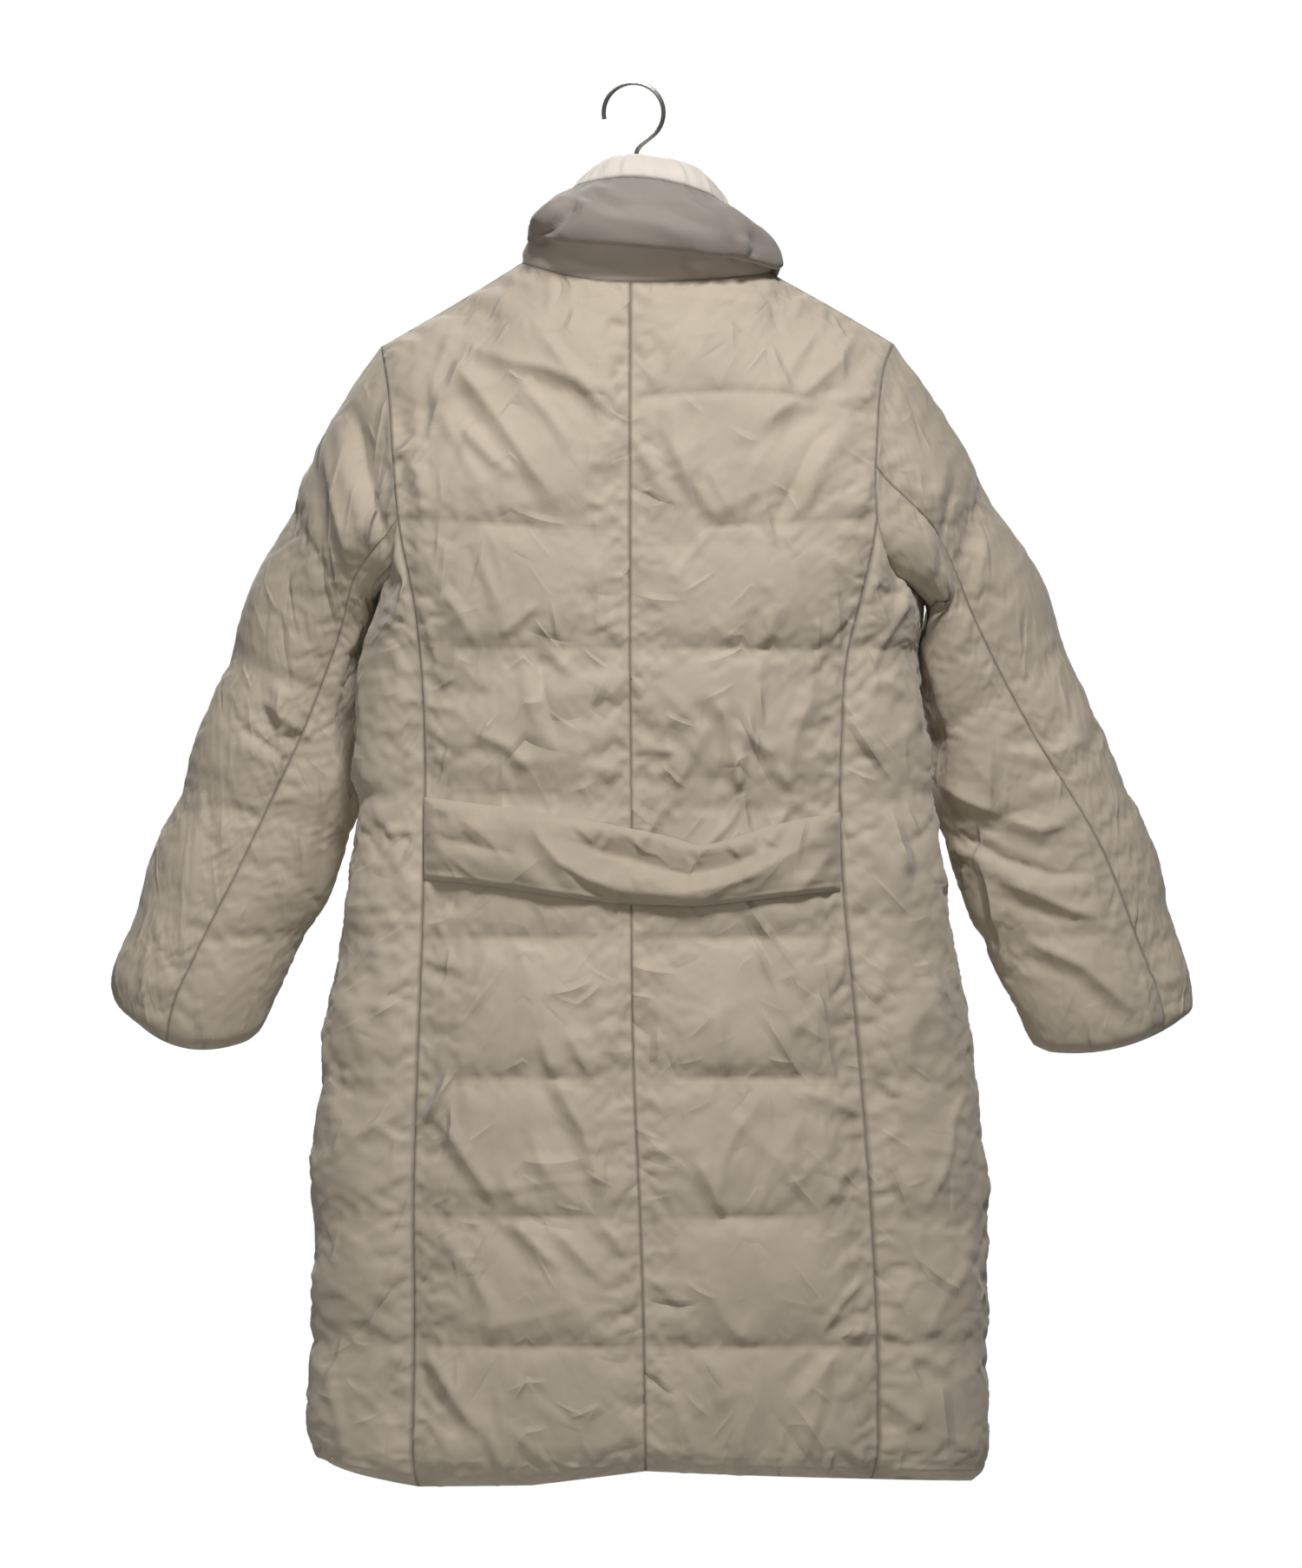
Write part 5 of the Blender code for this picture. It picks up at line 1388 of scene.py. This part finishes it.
# height and width of each fold in millimetres, then its line: across and up
COLLAR_FOLDS = [
    (-9.0, 6, (46, -104), (56, -113), (68, -122), (78, -130), (84, -136)),
    (2.8, 7, (30, -102), (42, -114), (54, -126), (66, -135)),
    (3.0, 7, (62, -104), (74, -113), (84, -122)),
    (-4.5, 5, (-98, -128), (-104, -140), (-100, -152)),
    (2.5, 5, (-90, -130), (-95, -142), (-92, -154)),
    (3.4, 6, (-14, -94), (-44, -104), (-78, -124)),
    (-3.4, 7, (16, -102), (-24, -112), (-64, -128)),
    (3.2, 5, (36, -90), (16, -100), (-6, -106)),
    (-2.4, 4, (48, -96), (24, -108), (4, -114)),
    (1.8, 5, (60, -150), (36, -158), (14, -162)),
    (-2.0, 5, (-40, -154), (-52, -160), (-60, -166)),
    (1.5, 6, (-30, -158), (-60, -152), (-84, -146)),
]


# %% [markdown]
# ## Pieces drawn from sections
#
# The collars and the belt are closed curves in a row, with a cap at both ends. A closed section
# has the outside on one half and the seat on the other, so nothing needs to be sewn shut.

# %% Sections into pieces
def curve_through(controls, count):
    """A smooth curve through control points, as evenly spaced points."""
    controls = np.asarray(controls)
    knots = lengths_along(controls)
    at = np.linspace(0, knots[-1], 6 * count)
    fine = np.stack([smooth(knots, controls[:, i], at) for i in range(3)], axis=1)
    return evenly(fine, count)


def rows_and_lengths(grid, step):
    """For each point its row round the section, and how far along the piece it is."""
    count, around = grid.shape[:2]
    return np.broadcast_arrays(np.arange(around) * 1.0, np.arange(count)[:, None] * step)


def section_piece(name, sections, seam, slot, material, bend):
    """A closed solid through closed sections. `bend` moves its skin along the normals, and `seam`
    is its painted shade.
    """
    grid = np.array(sections)
    count, around = grid.shape[:2]
    number = np.arange(count * around).reshape(count, around)
    after = np.roll(number, -1, axis=1)
    quads = np.stack([number[:-1], after[:-1], after[1:], number[1:]], axis=2).reshape(-1, 4)
    points = grid.reshape(-1, 3)
    a, b, c, d = (points[quads[:, i]] for i in range(4))
    volume = (a * np.cross(b, c)).sum() + (a * np.cross(c, d)).sum()
    outward = volume > 0
    if not outward:
        quads = quads[:, ::-1]
    points = points + normals_of(points, quads) * bend(points, grid)[:, None]
    caps = [number[0][::-1], number[-1]] if outward else [number[0], number[-1][::-1]]
    along, up = lengths_along(grid.mean(axis=1)), lengths_along(grid[count // 2])
    cloth = np.stack(np.broadcast_arrays(along[:, None], up), axis=2)
    piece = Piece()
    piece.add(points.reshape(grid.shape), cloth, seam, quads)
    piece.faces += [[int(v) for v in cap] for cap in caps]
    piece.build(name, slot, material)


# %% [markdown]
# ## Build the collar
#
# The neck line runs through four pieces: both centre backs and both fronts. We walk along it
# from the right front's edge, past the middle of the back, to the left front's edge.

# %% Build the collar
by_name = {}
for net, plain, normal in zip(nets, plain_grids, split(plain_normals[index], plain_grids)):
    by_name.setdefault(net.name, (plain, normal))
last = BACK_HALF + 1
halves = {}
for word in ("right", "left"):
    back = np.stack([g[0, :last] for g in by_name[f"back_centre_{word}"]])
    front = np.stack([g[0, :last] for g in by_name[f"front_{word}"]])
    halves[word] = np.concatenate([back, front[:, ::-1][:, 1:]], axis=1)
neck, neck_normals = np.concatenate([halves["right"][:, ::-1], halves["left"][:, 1:]], axis=1)
half = len(neck) // 2
neck_middle = neck.mean(axis=0)
OUT_POINTS, SEAT_POINTS, IN_POINTS = 46, 8, 40
SECTION_STEP, ROW_STEP = 3.2, 2.6  # millimetres from section to section, and from row to row
SEAT_GAP, CREST_FROM, CREST_OVER = 0.0005, 0.06, 0.04
UP = np.array([0.0, 0.0, 1.0])
outer_sections, inner_sections = [], []
for i in range(len(neck)):
    at = (i - half) * 8 / half
    height, roll, lean, droop, crest = (
        smooth(COLLAR_ALONG["column"], COLLAR_ALONG[name], at)
        for name in ("height", "roll", "lean", "droop", "crest")
    )
    seam, normal = neck[i], neck_normals[i]
    out = (seam - neck_middle) * np.array([1.0, 1.0, 0.0])
    out /= np.linalg.norm(out)
    if i in (0, len(neck) - 1):
        seam = seam + np.array([COLLAR_OPENING * np.sign(at), 0, 0])

    def place(rise, reach):
        leaning = lean * (rise / COLLAR_TALL) ** 2
        return seam + UP * rise * height + out * (reach - leaning)

    outer = [seam + normal * SHELL]
    columns = zip(*(COLLAR_OUT[name] for name in ("up", "out", "roll", "hang")))
    for rise, reach, more, hang in columns:
        outer.append(place(rise, reach + roll * more) - UP * droop * hang)
    seat = [seam - normal * SEAT_GAP]
    seat += [place(rise, reach) for rise, reach in zip(COLLAR_MIDDLE["up"], COLLAR_MIDDLE["out"])]
    columns = zip(COLLAR_IN["up"], COLLAR_IN["out"], COLLAR_IN["roll"])
    inner = [outer[-1]]
    for rise, reach, more in columns:
        lifted = crest * np.clip((rise - CREST_FROM) / CREST_OVER, 0, 1)
        inner.append(place(rise, reach + roll * more) + UP * lifted)
    inner.append(seam - normal * LINING)
    face, back = curve_through(outer, OUT_POINTS), curve_through(seat, SEAT_POINTS)
    facing = curve_through(inner, IN_POINTS)
    outer_sections.append(np.concatenate([face, back[::-1]]))
    inner_sections.append(np.concatenate([facing, back]))


def collar_bend(edge_first):
    """How far the collar's skin moves, for the outer or the inner collar."""

    def bend(points, grid):
        count, around = grid.shape[:2]
        row, along = rows_and_lengths(grid, SECTION_STEP)
        skin = OUT_POINTS if not edge_first else IN_POINTS
        to_edge = (row if edge_first else OUT_POINTS - row) * ROW_STEP
        shown = (row <= skin).astype(float)
        seated = np.clip(np.minimum(row, skin - row) / 2.0, 0, 1) * shown
        dice = np.random.default_rng(31 if edge_first else 32)
        wave = np.zeros((count, 1))
        for length in (9, 13, 17, 24, 38):
            wave = wave + np.sin(along[:, :1] / length * 6.28 + dice.uniform(0, 6.3))
        puckers = 0.0007 * wave * np.exp(-to_edge / 14) * np.clip(to_edge / 5, 0, 1)
        slow = ripples(points * (1, 1, 0.7), 10, 0.04, 0.10, 33).reshape(count, around) * 0.0012
        fine = ripples(points, 14, 0.014, 0.03, 34).reshape(count, around) * 0.00015
        plump = 0.0012 * np.clip(np.sin(np.clip(to_edge / 55, 0, 1) * math.pi), 0, 1)
        total = (puckers + slow + fine + plump * (not edge_first)) * seated
        flat = points[:, (0, 2)]
        marks = folds(flat, COLLAR_FOLDS) * (points[:, 1] > 0)
        return total.reshape(-1) + marks * seated.reshape(-1) * (not edge_first)

    return bend


# Painted shade along the collar's seams, and on the outer collar painted light on the stand and
# painted shade on the roll.
def collar_painted_light_and_shade(skin, edge_first, around, count):
    row = np.arange(around)
    edge = row if edge_first else OUT_POINTS - row
    near = np.minimum(np.abs(edge), np.abs(skin - edge))
    shade = np.where(row <= skin, np.exp(-((near * ROW_STEP / 1.9) ** 2)), 0)
    if not edge_first:
        # painted light on the stand, which lies in the roll's shadow, and painted shade over the
        # roll
        shade += np.interp(row, (11, 17), (-1.6, 0.25)) * (row <= skin)
    return np.broadcast_to(shade, (count, around))


around = len(outer_sections[0])
shade = collar_painted_light_and_shade(OUT_POINTS, False, around, len(neck))
# the coat's cloth painted darker, as painted shade, because the collar faces away from the light
# above
shaded_collar_cloth = cloth_material("collar cloth", (0.375, 0.328, 0.283), creases=0.25)
bend = collar_bend(False)
section_piece("collar_outer", outer_sections, shade, "coat_cloth", shaded_collar_cloth, bend)
around = len(inner_sections[0])
shade = collar_painted_light_and_shade(IN_POINTS, True, around, len(neck))
bend = collar_bend(True)
section_piece("collar_inner", inner_sections, shade, "collar_lining", lit_lining_cloth, bend)

# %% [markdown]
# ## Half belt
#
# The belt is a padded band that is sewn into the two princess seams and lies on the back. Its
# upper edge rolls over and hangs lowest right of the middle. Each section looks for the back
# behind it by casting rays, so that the belt follows the puffed cloth and never cuts it.

# %% Build the half belt
BELT = table(
    "x top bottom stand_off",
    [
        (0.1770, -0.6060, -0.6755, 0.0000),
        (0.1300, -0.6115, -0.6800, 0.0010),
        (0.0700, -0.6200, -0.6885, 0.0030),
        (0.0190, -0.6290, -0.6950, 0.0050),
        (-0.0370, -0.6410, -0.6975, 0.0070),
        (-0.0540, -0.6460, -0.6975, 0.0075),
        (-0.0820, -0.6405, -0.6950, 0.0060),
        (-0.1200, -0.6290, -0.6905, 0.0030),
        (-0.1745, -0.6185, -0.6850, 0.0000),
    ],
)
BELT_SECTION = table(
    "at thick",
    [
        (0.00, 0.0012),
        (0.04, 0.0070),
        (0.12, 0.0100),
        (0.35, 0.0122),
        (0.60, 0.0116),
        (0.80, 0.0108),
        (0.88, 0.0092),
        (0.94, 0.0068),
        (1.00, 0.0012),
    ],
)
BELT_FOLDS = [
    (-7.0, 13, (70, -637), (34, -649), (-8, -661), (-44, -671), (-84, -663), (-128, -640)),
    (5.0, 8, (86, -628), (76, -645), (62, -661), (40, -675), (4, -687)),
    (3.5, 9, (14, -684), (-44, -686), (-89, -676), (-126, -657), (-160, -640)),
    (-2.6, 5, (60, -664), (40, -682), (22, -690)),
    (-2.5, 6, (172, -640), (140, -646), (95, -655)),
    (2.0, 6, (150, -622), (124, -640), (104, -662)),
    (1.8, 3, (50, -626), (42, -635), (33, -645)),
    (2.0, 3, (19, -630), (22, -640), (26, -652)),
    (1.8, 3, (5, -634), (-2, -643), (-9, -652)),
    (1.6, 3, (-52, -648), (-54, -656), (-58, -664)),
    (2.4, 3, (-76, -641), (-82, -648), (-90, -656)),
    (2.0, 3, (-104, -634), (-112, -641), (-122, -648)),
    (1.6, 4, (-60, -690), (-84, -676), (-104, -668)),
    (1.4, 5, (160, -652), (140, -668), (125, -678)),
    (1.5, 5, (-140, -684), (-155, -668), (-166, -650)),
]
BELT_STEPS, BELT_AROUND = 180, 48
BELT_STEP, BELT_GAP = 1.95, 0.0006  # millimetres between sections, and metres off the back
tree_faces = flat_faces[(points[flat_faces][:, :, 1] > 0.03).all(axis=1)]
tree = BVHTree.FromPolygons(points.tolist(), tree_faces.tolist())


def back_depth(x, z):
    hit = tree.ray_cast(Vector((x, 0.6, z)), Vector((0, -1, 0)))[0]
    return hit.y if hit else 0.07


sections = []
across = np.linspace(BELT["x"][0], BELT["x"][-1], BELT_STEPS + 1)
rises = 0.5 - 0.5 * np.cos(np.linspace(0, math.pi, BELT_AROUND))
for x in across:
    names = ("top", "bottom", "stand_off")
    top, bottom, stand_off = (smooth(BELT["x"], BELT[name], x) for name in names)
    ends = min(BELT["x"][0] - x, x - BELT["x"][-1])
    full = 0.30 + 0.70 * ease(ends, 0.02)
    thick = smooth(BELT_SECTION["at"], BELT_SECTION["thick"], rises) * full
    heights = bottom + (top - bottom) * rises
    seat = np.array([back_depth(x, z) for z in heights])
    seat = np.maximum(seat, np.convolve(np.pad(seat, 3, "edge"), np.ones(7) / 7, "valid"))
    seat += BELT_GAP + stand_off * rises**2
    line = np.stack([np.full(BELT_AROUND, x), seat, heights], axis=1)
    sections.append(np.concatenate([line + [0, 1, 0] * thick[:, None], line[::-1]]))


def belt_bend(points, grid):
    count, around = grid.shape[:2]
    row, along = rows_and_lengths(grid, BELT_STEP)
    up = np.append(rises, rises)[None] + np.zeros((count, 1))
    shown = (row < BELT_AROUND) * np.clip(np.minimum(up / 0.06, (1 - up) / 0.20), 0, 1)
    ends = np.clip(np.minimum(along, along[-1] - along) / 12, 0, 1)
    puckers = 0.0008 * np.sin(row * 0.9 + 1) * np.exp(-np.minimum(along, along[-1] - along) / 16)
    slow = ripples(points, 10, 0.03, 0.08, 41).reshape(count, around) * 0.0009
    fine = ripples(points, 14, 0.012, 0.026, 42).reshape(count, around) * 0.00018
    marks = folds(points[:, (0, 2)], BELT_FOLDS).reshape(count, around)
    return ((slow + fine + puckers + marks) * shown * ends).reshape(-1)


row = np.arange(2 * BELT_AROUND)
# painted shade along the belt's lower seam, darkest on it
shade = np.where(row < BELT_AROUND, 0.7 * np.exp(-((row / 1.2) ** 2)), 0)
shade = np.broadcast_to(shade, (len(sections), len(row)))
section_piece("half_belt", sections, shade, "belt_cloth", belt_cloth, belt_bend)

# %% [markdown]
# ## Hanger
#
# The hanger's solids already have their true shape, so they stay. They only get a better
# finish: bright drawn wire for the hook, and plain dark plastic for the bar inside the coat.

# %% Finish the hanger
GRAIN = 400.0  # waves a metre in the finish, so that no surface is perfectly even


def plain_material(name, colour, roughness, metallic=0.0):
    material, shader = new_material(name, {"Base Color": (*colour, 1), "Metallic": metallic})
    nodes, links = material.node_tree.nodes, material.node_tree.links
    noise_node = nodes.new("ShaderNodeTexNoise")
    noise_node.inputs["Scale"].default_value = GRAIN
    rough = nodes.new("ShaderNodeMapRange")
    rough.inputs["To Min"].default_value = roughness - 0.06
    rough.inputs["To Max"].default_value = roughness + 0.08
    links.new(noise_node.outputs["Fac"], rough.inputs["Value"])
    links.new(rough.outputs["Result"], shader.inputs["Roughness"])
    return material


for name, material in (
    ("hanger_hook", plain_material("steel wire", (0.55, 0.54, 0.52), 0.30, 1.0)),
    ("hanger_bar", plain_material("bar plastic", (0.03, 0.03, 0.033), 0.45)),
):
    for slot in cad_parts[name].material_slots:
        slot.material = material
print("hanger finished")


# %% [markdown]
# ## Light and floor
#
# The main light comes from above, so that every fold has a bright upper side and a shaded lower
# one. Its beam is narrow and fades towards the hem and the sleeves. A weak light softens the
# shadows, another lights the front, and the world gives a little light from everywhere.

# %% Add light and floor
def area_light(name, place, aim, size, power, colour=(1, 1, 1), spread=180):
    data = bpy.data.lights.new(name, "AREA")
    data.shape, data.size, data.energy, data.color = "DISK", size, power, colour
    data.spread = math.radians(spread)
    light = bpy.data.objects.new(name, data)
    light.location = place
    light.rotation_euler = (Vector(aim) - Vector(place)).to_track_quat("-Z", "Y").to_euler()
    scene.collection.objects.link(light)


area_light("key", (-0.40, 2.35, 2.15), (0, 0, -0.57), 0.8, 8.5, (0.98, 0.97, 1.0), 50)
area_light("fill", (0.5, 1.5, -0.50), (0, 0, -0.50), 0.8, 3.4, (1.0, 0.98, 0.92))
area_light("front", (0.4, -2.2, 1.4), (0, 0, -0.6), 1.6, 45)
world = bpy.data.worlds.new("world")
scene.world = world
world.use_nodes = True
nodes, links = world.node_tree.nodes, world.node_tree.links
soft = nodes["Background"]
soft.inputs["Color"].default_value = (1.0, 0.97, 0.93, 1)
soft.inputs["Strength"].default_value = 0.09
white = nodes.new("ShaderNodeBackground")
white.inputs["Color"].default_value = (1, 1, 1, 1)
seen = nodes.new("ShaderNodeLightPath")
choose = nodes.new("ShaderNodeMixShader")
links.new(seen.outputs["Is Camera Ray"], choose.inputs["Fac"])
links.new(soft.outputs["Background"], choose.inputs[1])
links.new(white.outputs["Background"], choose.inputs[2])
links.new(choose.outputs["Shader"], nodes["World Output"].inputs["Surface"])

FLOOR_HEIGHT, FLOOR_RADIUS = -1.75, 1.9
bpy.ops.mesh.primitive_circle_add(
    vertices=96, radius=FLOOR_RADIUS, fill_type="NGON", location=(0, 0, FLOOR_HEIGHT)
)
floor = bpy.context.object
floor.name = "floor"
floor_paint = new_material("floor", {"Base Color": (0.8, 0.8, 0.79, 1), "Roughness": 0.9})[0]
floor.data.materials.append(floor_paint)
floor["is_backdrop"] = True

# %% [markdown]
# ## Size
#
# The dressed coat should be as large as the plain one, apart from a few millimetres of cloth.

# %% Measure and finish
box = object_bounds()
sizes = {"plain": plain_box, "dressed": box}
sizes = {name: [list(map(float, corner)) for corner in both] for name, both in sizes.items()}
print("plain and dressed box:", plain_box, box)
